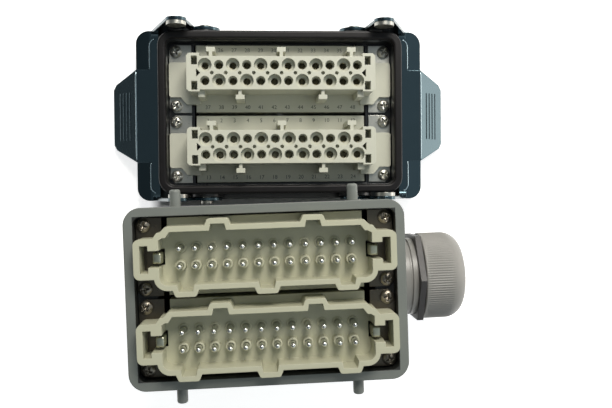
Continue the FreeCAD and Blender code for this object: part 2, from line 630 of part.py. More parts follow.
def male_outline(sketch, wall):
    """The shroud's outline in from its outer face by wall, with coding ribs on both long sides."""
    x = "(shroud_length / 2 - %s)" % wall
    y = "(shroud_width / 2 - %s)" % wall
    root, tip = "(rib_root / 2 - %s * 0.85)" % wall, "(rib_tip / 2 - %s * 0.6)" % wall
    rib = "(shroud_width / 2 + rib_depth - %s)" % wall
    along, across = "(corner_step_along - %s * 0.3)" % wall, "(corner_step_across - %s * 0.6)" % wall
    points = [("-" + x, "-" + y)]
    for k in (-1, 0, 1):
        centre = "%d * triple_key_place" % k
        points += [("%s - %s" % (centre, root), "-" + y), ("%s - %s" % (centre, tip), "-" + rib),
                   ("%s + %s" % (centre, tip), "-" + rib), ("%s + %s" % (centre, root), "-" + y)]
    step = [("%s" % x, "%s - %s" % (y, across)), ("%s - corner_step * 0.8" % x, "%s - corner_step * 1.2" % y),
            ("%s - corner_step * 1.4" % x, "%s - corner_step * 1.2" % y), ("%s - %s" % (x, along), y)]
    points += [(x, "-" + y)] + step
    for k in (1, -1):
        centre = "%d * pair_key_place" % k
        points += [("%s + %s" % (centre, root), y), ("%s + %s" % (centre, tip), rib),
                   ("%s - %s" % (centre, tip), rib), ("%s - %s" % (centre, root), y)]
    points += [("-(%s)" % px, py) for px, py in reversed(step)]
    polygon(sketch, points)


def male_insert(side):
    name = "male_insert_" + side
    body = new_body(name)
    outer = sketch_on(body, name + "_shroud", offset="plate_thickness")
    male_outline(outer, "0")
    pad(body, outer, "shroud_height")
    end, edge_y, wall = value["shroud_length"] / 2, value["shroud_width"] / 2, value["shroud_wall"]
    fillet(body, name + "_outer_corners", "shroud_corner",
           lambda edge: upright_at(edge, end, edge_y) and edge.BoundBox.YMax < 0)
    rib_face = edge_y + value["rib_depth"]
    fillet(body, name + "_rib_corners", "rib_round",
           lambda edge: edge.BoundBox.ZLength > 1 and abs(abs(edge.BoundBox.YMin) - rib_face) < 0.02
           and edge.BoundBox.YLength < 0.02)
    loops = sketch_on(body, name + "_loops", offset="plate_thickness")
    for sx in (-1, 1):
        rectangle(loops, "%d * (shroud_length / 2 - shroud_wall)" % sx, "%d * loop_reach" % sx,
                  "-loop_width / 2", "loop_width / 2")
    pad(body, loops, "shroud_height")
    reach, half = value["loop_reach"], value["loop_width"] / 2
    fillet(body, name + "_loop_corners", "loop_corner", lambda edge: upright_at(edge, reach, half))
    base = sketch_on(body, name + "_base", offset="plate_thickness")
    rectangle(base, "-base_length / 2", "base_length / 2", "-base_width / 2", "base_width / 2")
    pad(body, base, "base_depth", reverse=True)
    cavity = sketch_on(body, name + "_cavity", offset="plate_thickness + shroud_height")
    male_outline(cavity, "shroud_wall")
    pocket(body, cavity, "shroud_height - shroud_floor")
    fillet(body, name + "_inner_corners", "shroud_corner - shroud_wall",
           lambda edge: upright_at(edge, end - wall, edge_y - wall) and edge.BoundBox.YMax < 0)
    eyes = sketch_on(body, name + "_eyes", offset="plate_thickness + shroud_height")
    for sx in (-1, 1):
        inner, outer_x = "%d * slot_inner" % sx, "%d * (loop_reach - loop_wall)" % sx
        bend = "%d * (loop_reach - loop_wall - loop_eye_length)" % sx
        polygon(eyes, [(inner, "-slot_width / 2"), (bend, "-slot_width / 2"), (bend, "-loop_eye_width / 2"),
                       (outer_x, "-loop_eye_width / 2"), (outer_x, "loop_eye_width / 2"),
                       (bend, "loop_eye_width / 2"), (bend, "slot_width / 2"), (inner, "slot_width / 2")])
    pocket(body, eyes, "shroud_height")
    finish(body, y="%s * insert_pitch / 2" % ROW_SIDES[side], z="hood_height - mouth_depth", on_hood=True)


def male_pins(side):
    name = "male_pins_" + side
    body = new_body(name)
    body.AllowCompound = True
    pins = sketch_on(body, name + "_pins", offset="plate_thickness + shroud_floor")
    circles(pins, [(x, y) for column, level, x, y in contact_places()], "pin_radius")
    pad(body, pins, "pin_length - shroud_floor")
    finish(body, y="%s * insert_pitch / 2" % ROW_SIDES[side], z="hood_height - mouth_depth", on_hood=True)


# Hood: drafted shell on its back, mouth up, with the gland boss and a peg pressed in for each claw

PEG_PLACES = [("%d * peg_place" % sx, "hood_height - peg_from_rim") for sx in (-1, 1)]


def hood_pegs():
    body = new_body("hood_pegs")
    body.AllowCompound = True
    rods = sketch_on(body, "peg_rods", "XZ_Plane")
    circles(rods, PEG_PLACES, "peg_radius")
    pad(body, rods, "2 * peg_reach", both=True)
    reach = value["peg_reach"]
    fillet(body, "peg_ends", "peg_end_round",
           lambda edge: abs(abs(edge.BoundBox.YMin) - reach) < 0.02 and edge.BoundBox.YLength < 0.02)
    middle = sketch_on(body, "peg_middle", offset="hood_height")
    rectangle(middle, "-2 * peg_place", "2 * peg_place", "-peg_root", "peg_root")
    pocket(body, middle, "2 * peg_from_rim")
    finish(body, on_hood=True)


def hood_body():
    body = new_body("hood_body")
    rim = sketch_on(body, "hood_rim", offset="hood_height")
    rounded_rectangle(rim, "hood_length", "hood_width", "hood_corner")
    shell = pad(body, rim, "hood_height", reverse=True)
    bind(shell, "TaperAngle", "-hood_draft")
    fillet(body, "hood_back_edges", "hood_back_round", lambda edge: flat_at(edge, 0))
    boss = sketch_on(body, "gland_boss", "YZ_Plane", "seat_span / 2")
    circle(boss, "0", "gland_height", "gland_boss_radius")
    pad(body, boss, "gland_boss_end - seat_span / 2")
    for sy in (-1, 1):
        holes = sketch_on(body, "peg_holes_%d" % (sy + 1), "XZ_Plane", "%d * peg_root" % -sy)
        circles(holes, PEG_PLACES, "peg_radius + fit_gap / 5")
        pocket(body, holes, "peg_reach - peg_root", up=sy < 0)
    mouth = sketch_on(body, "hood_mouth", offset="hood_height")
    rounded_rectangle(mouth, "mouth_length", "mouth_width", "mouth_corner")
    pocket(body, mouth, "mouth_depth")
    inserts = sketch_on(body, "insert_space", offset="hood_height - mouth_depth")
    rectangle(inserts, "-seat_span / 2", "seat_span / 2", "-throat_width / 2", "throat_width / 2")
    pocket(body, inserts, "insert_space_depth")
    cavity = sketch_on(body, "cable_space", offset="hood_height - mouth_depth")
    rectangle(cavity, "-seat_span / 2", "seat_span / 2", "-cable_space_width / 2", "cable_space_width / 2")
    pocket(body, cavity, "hood_height - mouth_depth - hood_back_wall")
    cores = sketch_on(body, "hood_core_pockets", offset="hood_height - mouth_depth")
    for sy in (-1, 1):
        middle = "%d * insert_pitch / 2" % sy
        rectangle(cores, "-pocket_span / 2", "pocket_span / 2", middle + " - pocket_width / 2",
                  middle + " + pocket_width / 2")
    pocket(body, cores, "mouth_depth")
    bore = sketch_on(body, "gland_bore", "YZ_Plane", "seat_span / 2 - 1")
    circle(bore, "0", "gland_height", "gland_bore_radius")
    pocket(body, bore, "gland_boss_end - seat_span / 2 + 2", up=True)
    tapped = sketch_on(body, "hood_tapped_holes", offset="hood_height - mouth_depth")
    for side in ROW_SIDES.values():
        for x, y in SCREW_PLACES:
            circle(tapped, x, "%s * insert_pitch / 2 + %s" % (side, y), "tapped_hole_radius")
    pocket(body, tapped, "screw_length")
    finish(body, on_hood=True)


# Cable gland on the hood's short side, along +X of the hood

COLLAR_START = "gland_boss_end + sealing_ring_thickness"
HEX_START = "(gland_boss_end + sealing_ring_thickness + collar_length)"
CAP_START = "(gland_boss_end + sealing_ring_thickness + collar_length + hex_length + cap_gap)"


def turned(name, profile):
    """A turned piece: the profile's (along, radius) points turned once round the gland's axis."""
    body = new_body(name)
    section = sketch_on(body, name + "_section", "XZ_Plane")
    polygon(section, profile)
    spin = body.newObject("PartDesign::Revolution", name + "_turn")
    spin.Profile = section
    axis = [feature for feature in body.Origin.OriginFeatures if feature.Role == "X_Axis"][0]
    spin.ReferenceAxis = (axis, [""])
    spin.Angle = 360
    return body


def hexagon(sketch, across_flats):
    apothem = "(%s / 2)" % across_flats
    corner = "(%s / 2 / cos(30))" % across_flats
    polygon(sketch, [("-%s" % apothem, "-%s / 2" % corner), ("0", "-%s" % corner),
                     (apothem, "-%s / 2" % corner), (apothem, "%s / 2" % corner),
                     ("0", corner), ("-%s" % apothem, "%s / 2" % corner)])


def on_gland(body):
    finish(body, z="gland_height", on_hood=True)


def gland():
    seal = [("gland_boss_end", "gland_bore_radius + 0.2"), (COLLAR_START, "gland_bore_radius + 0.2"),
            (COLLAR_START, "sealing_ring_radius"), ("gland_boss_end", "sealing_ring_radius")]
    on_gland(turned("gland_sealing_ring", seal))
    collar_end = HEX_START
    step = "(%s + collar_length * 0.45)" % COLLAR_START
    notch = "(%s + collar_length * 0.62)" % COLLAR_START
    on_gland(turned("gland_collar", [
        (COLLAR_START, "gland_thread_radius + 0.1"), (collar_end, "gland_thread_radius + 0.1"),
        (collar_end, "collar_radius"), (notch, "collar_radius"), (notch, "collar_radius - 0.8"),
        (step, "collar_radius - 0.8"), (step, "collar_radius - 0.2"), (COLLAR_START, "collar_radius - 0.2")]))
    start = "(seat_span / 2 - locknut_thickness - 1)"
    cap_thread_end = "(%s + hex_length + cap_thread_length)" % HEX_START
    body = turned("gland_body", [
        (start, "cable_bore_radius"), (cap_thread_end, "cable_bore_radius"),
        (cap_thread_end, "cap_thread_radius"), (HEX_START, "cap_thread_radius"),
        (HEX_START, "gland_thread_radius"), (start, "gland_thread_radius")])
    nut = sketch_on(body, "gland_hex", "YZ_Plane", HEX_START)
    hexagon(nut, "hex_across_flats")
    circle(nut, "0", "0", "cap_thread_radius - 1")
    pad(body, nut, "hex_length")
    on_gland(body)
    locknut = new_body("gland_locknut")
    ring = sketch_on(locknut, "locknut_hex", "YZ_Plane", "seat_span / 2 - locknut_thickness")
    hexagon(ring, "locknut_across_flats")
    circle(ring, "0", "0", "gland_thread_radius + 0.1")
    pad(locknut, ring, "locknut_thickness")
    on_gland(locknut)
    cap_end = "(%s + cap_length)" % CAP_START
    cap = turned("gland_cap", [
        (CAP_START, "cap_bore_radius"), (cap_end + " - cap_end_wall", "cap_bore_radius"),
        (cap_end + " - cap_end_wall", "cap_mouth_radius"), (cap_end, "cap_mouth_radius"),
        (cap_end, "cap_radius"), (CAP_START, "cap_radius")])
    end_x = float(sheet.evalExpression(bound(cap_end)))
    fillet(cap, "cap_dome", "cap_end_round",
           lambda edge: abs(edge.BoundBox.XMin - end_x) < 0.02 and edge.BoundBox.XLength < 0.02
           and edge.BoundBox.YLength > 2 * value["cap_radius"] - 0.1)
    on_gland(cap)
    claw_end = "(%s - cap_end_wall - 0.5)" % cap_end
    claws = turned("gland_claws", [
        (cap_thread_end, "bush_radius + 0.2"), (claw_end, "bush_radius + 0.2"), (claw_end, "claw_tip_radius"),
        (cap_thread_end, "cap_thread_radius - 1")])
    slots = sketch_on(claws, "claw_slots", "YZ_Plane", cap_thread_end + " + 1.5")
    near, far = "claw_slot_width / 2", "cap_radius"
    polygon(slots, [(near, near), (far, near), (far, "-" + near), (near, "-" + near), (near, "-" + far),
                    ("-" + near, "-" + far), ("-" + near, "-" + near), ("-" + far, "-" + near),
                    ("-" + far, near), ("-" + near, near), ("-" + near, far), (near, far)])
    pocket(claws, slots, "cap_length", up=True)
    on_gland(claws)
    on_gland(turned("gland_seal_bush", [
        (cap_thread_end, "bush_bore"), (claw_end, "bush_bore"), (claw_end, "bush_radius"),
        (cap_thread_end, "bush_radius")]))


housing_body()
seals()
for lever_name, half_turn in (("lever_left", False), ("lever_right", True)):
    lever(lever_name, half_turn)
pivot_rivets()
lever_studs("lever_studs_left", -1)
lever_studs("lever_studs_right", 1)
for row_name, row_sign in ROW_SIDES.items():
    row_place = "%s * insert_pitch / 2" % row_sign
    female_base(row_name)
    female_insert(row_name)
    female_contacts(row_name)
    earth_plates("female_earth_plates_" + row_name, row_place, "seat_height", False, False)
    mounting_screws("female_screws_" + row_name, row_place, "seat_height", False)
    male_insert(row_name)
    male_pins(row_name)
    earth_plates("male_earth_plates_" + row_name, row_place, "hood_height - mouth_depth", True, True)
    mounting_screws("male_screws_" + row_name, row_place, "hood_height - mouth_depth", True)
hood_body()
hood_pegs()
gland()
doc.recompute()

for thing in doc.Objects:
    if "Invalid" in thing.State or "Error" in thing.State:
        raise RuntimeError("%s failed: %s" % (thing.Name, thing.State))
os.makedirs("parts", exist_ok=True)
for piece in parts:
    if piece.Shape.isNull() or not piece.Shape.isValid():
        raise RuntimeError(piece.Label + " is not a valid solid")
    piece.Shape.exportStep("parts/%s.step" % piece.Label)
    print(piece.Label, len(piece.Shape.Solids), round(piece.Shape.Volume, 1))
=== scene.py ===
import json
import math

import bpy
import bmesh
import numpy as np
from mathutils import Matrix, Vector


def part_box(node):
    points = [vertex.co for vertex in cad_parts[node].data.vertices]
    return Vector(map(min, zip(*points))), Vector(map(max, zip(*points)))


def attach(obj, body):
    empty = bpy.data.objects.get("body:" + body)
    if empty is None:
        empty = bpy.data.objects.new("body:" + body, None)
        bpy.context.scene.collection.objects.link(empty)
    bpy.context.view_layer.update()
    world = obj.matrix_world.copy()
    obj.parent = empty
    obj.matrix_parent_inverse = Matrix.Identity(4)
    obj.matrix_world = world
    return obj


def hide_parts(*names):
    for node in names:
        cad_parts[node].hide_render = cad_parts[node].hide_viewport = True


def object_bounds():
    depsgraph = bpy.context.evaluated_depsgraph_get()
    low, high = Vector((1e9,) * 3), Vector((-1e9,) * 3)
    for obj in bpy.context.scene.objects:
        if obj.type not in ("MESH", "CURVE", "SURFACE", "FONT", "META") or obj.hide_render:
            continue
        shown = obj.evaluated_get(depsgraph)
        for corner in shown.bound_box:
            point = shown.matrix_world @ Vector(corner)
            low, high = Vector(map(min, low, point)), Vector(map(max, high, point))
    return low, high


bl_info = {
    "name": "Rectangular Connector Finish",
    "version": (1, 0, 0),
    "blender": (4, 5, 0),
    "location": "3D View > Sidebar > Connector",
    "description": "Detailed pieces, materials and studio for a heavy duty rectangular connector",
    "category": "Object",
}

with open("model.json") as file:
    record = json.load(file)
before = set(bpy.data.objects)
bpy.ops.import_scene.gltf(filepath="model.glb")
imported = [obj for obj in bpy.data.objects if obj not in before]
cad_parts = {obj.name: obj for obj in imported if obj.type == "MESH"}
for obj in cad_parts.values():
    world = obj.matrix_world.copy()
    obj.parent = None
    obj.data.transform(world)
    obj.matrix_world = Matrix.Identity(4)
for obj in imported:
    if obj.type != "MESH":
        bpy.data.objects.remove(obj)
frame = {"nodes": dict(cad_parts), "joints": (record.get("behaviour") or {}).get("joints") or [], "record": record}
CAD_BOX = [list(corner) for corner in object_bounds()]
JOINTS = {joint["name"]: joint for joint in frame["joints"]}
GLAND_AXIS = Vector(JOINTS["gland_cap_turn"]["axis"]).normalized()
GLAND_CENTRE = Vector(JOINTS["gland_cap_turn"]["pos_m"])
HOOD_TURN = math.atan2(GLAND_AXIS.y, GLAND_AXIS.x)
ROWS = ("rear", "front")
MM = 0.001

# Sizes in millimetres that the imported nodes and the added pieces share

CONTACTS_IN_ROW = 12
CONTACT_PITCH = 6.6
CONTACT_ROW_GAP = 7.5
SCREW_LONG = 104.0
SCREW_SHORT = 27.0
PLATE_THICKNESS = 1.8
BLOCK_HEIGHT = 18.5
LEVER_TOP = 13.0
LEVER_WEB_EDGE = 73.2
LEVER_CREASE = 66.2
LEVER_TAB_HALF = 23.4
MOUTH_LENGTH = 111.2
MOUTH_WIDTH = 69.6
MOUTH_MARGIN = 0.2
# Height in mm above which the inside of the hood's mouth gets painted shade
SHADE_ABOVE = 4.0


def linear(colour):
    """An sRGB hex colour as linear red, green, blue and a full alpha, by the sRGB curve: a straight line
    near black and a power of 2.4 above it."""
    parts = [int(colour[k:k + 2], 16) / 255 for k in (1, 3, 5)]
    return tuple(p / 12.92 if p <= 0.04045 else ((p + 0.055) / 1.055) ** 2.4 for p in parts) + (1.0,)


def size_field(name, description, default):
    """A size in millimetres that a user can set."""
    return bpy.props.FloatProperty(name=name, description=description, default=default,
                                   unit="NONE", min=0.0)


def colour_field(name, description, default):
    """A base colour that a user can set, given as sRGB hex."""
    return bpy.props.FloatVectorProperty(name=name, description=description, default=linear(default)[:3],
                                         subtype="COLOR", size=3, min=0.0, max=1.0)


class ConnectorSizes(bpy.types.PropertyGroup):
    """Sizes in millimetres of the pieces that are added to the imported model."""
    recess_reach: size_field("Recess reach", "Length of one arm of a screw's cross recess, mm", 1.75)
    recess_width: size_field("Recess width", "Width of an arm of a screw's cross recess, mm", 0.78)
    recess_depth: size_field("Recess depth", "Depth of a screw's cross recess, mm", 1.9)
    pin_radius: size_field("Pin radius", "Radius of a male pin, mm", 1.25)
    collar_radius: size_field("Collar radius", "Outer radius of the moulded collar round a pin, mm", 2.3)
    low_collar: size_field("Low collar", "Height of the collars in an insert's rear row of pins, mm", 0.7)
    high_collar: size_field("High collar", "Height of the collars in its front row of pins, mm", 4.2)
    fold_radius: size_field("Fold radius", "Radius of the fold at the root of a lever's tab, mm", 0.55)
    bead_radius: size_field("Bead radius", "Radius of the pressed beads beside a lever's tab, mm", 0.42)
    contact_radius: size_field("Contact radius", "Outer radius of a female contact, mm", 1.6)
    contact_bore: size_field("Contact bore", "Bore radius of a female contact, mm", 1.2)
    cap_rib_count: bpy.props.IntProperty(name="Cap ribs", description="Ribs round the gland cap",
                                         default=112, min=12)
    cap_rib_depth: size_field("Cap rib depth", "Depth of the cap's grip ribs, mm", 0.36)
    digit_height: size_field("Digit height", "Height of the contact numbers, mm", 1.9)


class ConnectorColours(bpy.types.PropertyGroup):
    """Base colours of the finishes."""
    enamel: colour_field("Housing enamel", "Black enamel of the bulkhead housing", "#0d0e0f")
    powder: colour_field("Hood powder coat", "Grey powder coat of the hood", "#70746f")
    female_plastic: colour_field("Female insert", "Pale polycarbonate of the female inserts", "#c2c2b2")
    male_plastic: colour_field("Male insert", "Pale polycarbonate of the male inserts", "#b6b59d")
    # Painted shade: the dark grey laid over the inside of the hood's mouth
    casting: colour_field("Painted mouth shade", "Painted shade inside the hood's mouth", "#242624")
    rubber: colour_field("Seal rubber", "Nitrile rubber of the seals", "#131112")
    steel: colour_field("Lever steel", "Polished stainless steel of the levers", "#48575d")
    # Painted highlight: a much lighter copy of the lever steel on its folds and beads
    burnished: colour_field("Fold highlights", "Painted highlight where the levers are folded", "#b4c6cc")
    tin: colour_field("Tin plate", "Tinned earth contacts of the male inserts", "#b9baa6")
    zinc: colour_field("Zinc plate", "Zinc plated steel of plates and screws", "#b3b2aa")
    # Painted shade: darker, browner copies of the zinc for the plates and screws deep inside the hood
    dull_zinc: colour_field("Plate in painted shade", "Earth plates deep inside the hood", "#5d574d")
    dull_screw: colour_field("Dull screws", "Screws deep inside the hood", "#8f887c")
    silver: colour_field("Pin silver", "Silver plate of the pins", "#d5d6d0")
    tarnish: colour_field("Contact silver", "Tarnished silver plate of the female contacts", "#7f7961")
    grey_nylon: colour_field("Gland nylon", "Grey polyamide of the gland", "#878580")
    black_nylon: colour_field("Black nylon", "Black polyamide of the gland body", "#2e2c2b")
    ink: colour_field("Number ink", "Printed contact numbers", "#4c524c")


# Surfaces, in millimetres

def grid_faces(rows, columns, wrap):
    """Corner numbers of the quads of a rows by columns grid; wrap joins the last column to the first."""
    steps = columns if wrap else columns - 1
    row, column = np.meshgrid(np.arange(rows - 1), np.arange(steps), indexing="ij")
    beside = (column + 1) % columns
    return np.stack([row * columns + column, row * columns + beside,
                     (row + 1) * columns + beside, (row + 1) * columns + column], axis=-1).reshape(-1, 4)


def rings_round_z(radius, height, angle):
    """One ring of points for each radius and height: x is the radius times the cosine of the angle, y the
    radius times its sine, and z the height."""
    return np.stack([np.outer(radius, np.cos(angle)), np.outer(radius, np.sin(angle)),
                     np.repeat(height[:, None], len(angle), axis=1)], axis=-1).reshape(-1, 3)


def lathe(profile, segments):
    """A profile of (radius, height) turned round +Z, one ring for each of its points."""
    radius, height = np.array(profile, float).T
    angle = np.linspace(0, 2 * np.pi, segments, endpoint=False)
    return rings_round_z(radius, height, angle), grid_faces(len(profile), segments, True)


def quarter_round(radius, height, bend, steps):
    """The part of a profile that rounds an upper edge: from the full radius to the full height, on a
    quarter circle whose radius is bend."""
    return [(radius - bend + bend * math.cos(a), height - bend + bend * math.sin(a))
            for a in np.linspace(0, math.pi / 2, steps)]


def repeat(points, faces, places):
    """The same surface at every place: point plus place, with its corner numbers moved on."""
    places = np.array(places, float)
    all_points = (points[None] + places[:, None]).reshape(-1, 3)
    starts = np.arange(len(places)) * len(points)
    return all_points, (faces[None] + starts[:, None, None]).reshape(-1, faces.shape[1])


def joined(pieces):
    """Several (points, faces) as one, each piece's corner numbers moved past those before it."""
    starts = np.cumsum([0] + [len(points) for points, faces in pieces[:-1]])
    return (np.concatenate([points for points, faces in pieces]),
            np.concatenate([faces + start for start, (points, faces) in zip(starts, pieces)]))


def smooth_step(edge, width, values):
    """0 below edge - width, 1 above edge + width, and between them 3 t squared less 2 t cubed, where t is
    the share of the way."""
    t = np.clip((values - edge + width) / (2 * width), 0, 1)
    return t * t * (3 - 2 * t)


def signed_power(wave, power):
    """The size of each value raised to a power, with its sign kept."""
    return np.sign(wave) * np.abs(wave) ** power


def rounded_block(centre, half, turn):
    """A block with rounded edges, as in a superellipsoid: x, y and z are the half sizes times signed powers
    of cosines and sines of a longitude and a latitude, turned about +Z and moved to the block's centre."""
    power = 0.28
    longitude = np.linspace(-np.pi, np.pi, 33)[:-1]
    latitude = np.linspace(-np.pi / 2, np.pi / 2, 19)
    ring = signed_power(np.cos(latitude), power)
    x = half[0] * np.outer(ring, signed_power(np.cos(longitude), power))
    y = half[1] * np.outer(ring, signed_power(np.sin(longitude), power))
    z = np.repeat((half[2] * signed_power(np.sin(latitude), power))[:, None], len(longitude), axis=1)
    turned_x = x * math.cos(turn) - y * math.sin(turn)
    turned_y = x * math.sin(turn) + y * math.cos(turn)
    points = np.stack([turned_x, turned_y, z], axis=-1).reshape(-1, 3)
    return points + np.array(centre), grid_faces(len(latitude), len(longitude), True)


def bead(path, radius):
    """A round bead along a path: each ring lies square to the path, and its radius is the full one times
    the root of 1 less the eighth power of the way from the middle, so it falls to nothing at both ends."""
    segments = 12
    path = np.array(path, float)
    ahead = np.gradient(path, axis=0)
    ahead /= np.linalg.norm(ahead, axis=1)[:, None]
    aside = np.cross(ahead, (0.0, 0.0, 1.0))
    over = np.cross(aside, ahead)
    way = np.linspace(-1, 1, len(path))
    size = radius * np.sqrt(np.clip(1 - way ** 8, 0, 1))
    angle = np.linspace(0, 2 * np.pi, segments, endpoint=False)
    ring = aside[:, None] * np.cos(angle)[None, :, None] + over[:, None] * np.sin(angle)[None, :, None]
    points = path[:, None] + size[:, None, None] * ring
    return points.reshape(-1, 3), grid_faces(len(path), segments, True)


def to_gland(points):
    """Points of a piece that was drawn along +Z, laid along the gland's axis: z runs out from the hood's
    middle, x becomes up, and y goes across."""
    up = np.array([0.0, 0.0, 1.0])
    along = np.array(GLAND_AXIS)
    across = np.cross(up, along)
    return (np.array(GLAND_CENTRE) / MM + points[:, 2:3] * along
            + points[:, 0:1] * up + points[:, 1:2] * across)


def add_piece(name, points, faces, body, material, replaces=(), crease=35):
    """A closed mesh from points in millimetres, with outward faces, that rides on a body. Edges sharper
    than crease degrees stay sharp."""
    mesh = bpy.data.meshes.new(name)
    mesh.from_pydata((np.asarray(points) * MM).tolist(), [], np.asarray(faces).tolist())
    shaped = bmesh.new()
    shaped.from_mesh(mesh)
    bmesh.ops.remove_doubles(shaped, verts=shaped.verts, dist=1e-7)
    bmesh.ops.recalc_face_normals(shaped, faces=shaped.faces)
    shaped.to_mesh(mesh)
    shaped.free()
    mesh.polygons.foreach_set("use_smooth", [True] * len(mesh.polygons))
    mesh.set_sharp_from_angle(angle=math.radians(crease))
    piece = bpy.data.objects.new(name, mesh)
    bpy.context.scene.collection.objects.link(piece)
    mesh.materials.append(material)
    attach(piece, body)
    if replaces:
        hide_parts(*replaces)


# Materials: a pattern's scale is how many patches or grains lie in one millimetre

def add_node(tree, kind, inputs=(), **settings):
    """Adds a node with its settings; inputs pairs a socket with a value or the socket that feeds it."""
    node = tree.nodes.new(kind)
    for name, setting in settings.items():
        setattr(node, name, setting)
    for name, value in dict(inputs).items():
        if isinstance(value, bpy.types.NodeSocket):
            tree.links.new(value, node.inputs[name])
        else:
            node.inputs[name].default_value = value
    return node


def new_material(name):
    """An empty node material and its tree."""
    material = bpy.data.materials.new(name)
    material.use_nodes = True
    material.node_tree.nodes.clear()
    return material, material.node_tree


def in_millimetres(tree):
    """Object coordinates in millimetres."""
    place = add_node(tree, "ShaderNodeTexCoord")
    return add_node(tree, "ShaderNodeMapping", {"Vector": place.outputs["Object"],
                                                "Scale": (1 / MM, 1 / MM, 1 / MM)})


def speckled_colour(tree, colour, place, scale, spread):
    """A base colour that varies slowly over the surface between spread darker and spread lighter."""
    noise = add_node(tree, "ShaderNodeTexNoise",
                     {"Vector": place.outputs[0], "Scale": scale, "Detail": 3.0})
    low = tuple(c * (1 - spread) for c in colour) + (1.0,)
    high = tuple(min(1.0, c * (1 + spread)) for c in colour) + (1.0,)
    return add_node(tree, "ShaderNodeMix", {"Factor": noise.outputs["Fac"], 6: low, 7: high},
                    data_type="RGBA").outputs[2]


def roughness_range(tree, place, scale, low, high):
    """A roughness that varies over the surface between low and high."""
    noise = add_node(tree, "ShaderNodeTexNoise",
                     {"Vector": place.outputs[0], "Scale": scale, "Detail": 2.0})
    return add_node(tree, "ShaderNodeMapRange",
                    {"Value": noise.outputs["Fac"], "To Min": low, "To Max": high}).outputs[0]


def grain_bump(tree, place, scale, height_mm, edge_mm):
    """Grain of a given height over edges that are rounded by edge_mm."""
    noise = add_node(tree, "ShaderNodeTexNoise",
                     {"Vector": place.outputs[0], "Scale": scale, "Detail": 2.0})
    edge = add_node(tree, "ShaderNodeBevel", {"Radius": edge_mm * MM}, samples=6)
    return add_node(tree, "ShaderNodeBump", {"Height": noise.outputs["Fac"], "Strength": 1.0,
                                             "Distance": height_mm * MM, "Normal": edge.outputs[0]})


def finish_surface(tree, colour, bump, **values):
    """The shader and output of a surface; values are the shader's socket names with _ for a space."""
    inputs = {name.replace("_", " "): value for name, value in values.items()}
    inputs["Base Color"] = colour
    inputs["Normal"] = bump.outputs["Normal"]
    shader = add_node(tree, "ShaderNodeBsdfPrincipled", inputs)
    add_node(tree, "ShaderNodeOutputMaterial", {"Surface": shader.outputs[0]})


def black_enamel():
    """Die-cast aluminium with black stoving enamel: glossy and dark, with a slight orange peel."""
    material, tree = new_material("die_cast_black_enamel")
    place = in_millimetres(tree)
    enamel = bpy.context.scene.connector_colours.enamel
    colour = speckled_colour(tree, enamel, place, scale=0.15, spread=0.15)
    bump = grain_bump(tree, place, scale=0.9, height_mm=0.02, edge_mm=0.6)
    rough = roughness_range(tree, place, scale=0.3, low=0.24, high=0.36)
    finish_surface(tree, colour, bump, Roughness=rough, Coat_Weight=0.3, Coat_Roughness=0.12)
    return material


def inside_the_mouth(tree, place):
    """1 in the hood's mouth and 0 elsewhere: the distance from the hood's middle is under half the mouth's
    length along it and half its width across it, with a margin that takes in the face of the mouth's
    wall, and the height is above a level that keeps the outside of the hood's back out."""
    # Where this is 1, the hood's colour is painted shade
    centred = add_node(tree, "ShaderNodeMapping", {"Vector": place.outputs[0],
                                                   "Location": tuple(-c / MM for c in GLAND_CENTRE)})
    turned = add_node(tree, "ShaderNodeMapping",
                      {"Vector": centred.outputs[0], "Rotation": (0, 0, -HOOD_TURN)})
    parts = add_node(tree, "ShaderNodeSeparateXYZ", {0: turned.outputs[0]})
    level = SHADE_ABOVE - GLAND_CENTRE.z / MM
    inside = add_node(tree, "ShaderNodeMath", {0: parts.outputs["Z"], 1: level},
                      operation="GREATER_THAN").outputs[0]
    for axis, reach in (("X", MOUTH_LENGTH / 2), ("Y", MOUTH_WIDTH / 2)):
        far = add_node(tree, "ShaderNodeMath", {0: parts.outputs[axis]}, operation="ABSOLUTE")
        near = add_node(tree, "ShaderNodeMath", {0: far.outputs[0], 1: reach + MOUTH_MARGIN},
                        operation="LESS_THAN")
        inside = add_node(tree, "ShaderNodeMath", {0: inside, 1: near.outputs[0]},
                          operation="MULTIPLY").outputs[0]
    return inside


def grey_powder_coat():
    """Die-cast aluminium with grey epoxy powder coat: satin, with a fine even orange peel of about 0.8 mm.
    Inside the mouth the colour is painted shade: a dark grey in place of the coat, where the hood's inside lies in
    shade."""
    material, tree = new_material("die_cast_grey_powder_coat")
    place = in_millimetres(tree)
    colours = bpy.context.scene.connector_colours
    coat = speckled_colour(tree, colours.powder, place, scale=0.12, spread=0.06)
    casting = speckled_colour(tree, colours.casting, place, scale=0.3, spread=0.25)
    # Painted shade: inside the mouth the dark colour takes the place of the coat
    colour = add_node(tree, "ShaderNodeMix", {"Factor": inside_the_mouth(tree, place), 6: coat, 7: casting},
                      data_type="RGBA").outputs[2]
    bump = grain_bump(tree, place, scale=1.2, height_mm=0.045, edge_mm=0.8)
    rough = roughness_range(tree, place, scale=0.4, low=0.42, high=0.56)
    finish_surface(tree, colour, bump, Roughness=rough)
    return material


def moulded_polycarbonate(name, colour_value):
    """Glass filled polycarbonate, injection moulded: pale and satin with a barely visible sparked grain,
    drawn at a third of a millimetre, which is coarser than the real one, so that it shows."""
    material, tree = new_material(name)
    place = in_millimetres(tree)
    colour = speckled_colour(tree, colour_value, place, scale=0.2, spread=0.035)
    bump = grain_bump(tree, place, scale=3.0, height_mm=0.008, edge_mm=0.35)
    rough = roughness_range(tree, place, scale=0.5, low=0.36, high=0.48)
    finish_surface(tree, colour, bump, Roughness=rough)
    return material


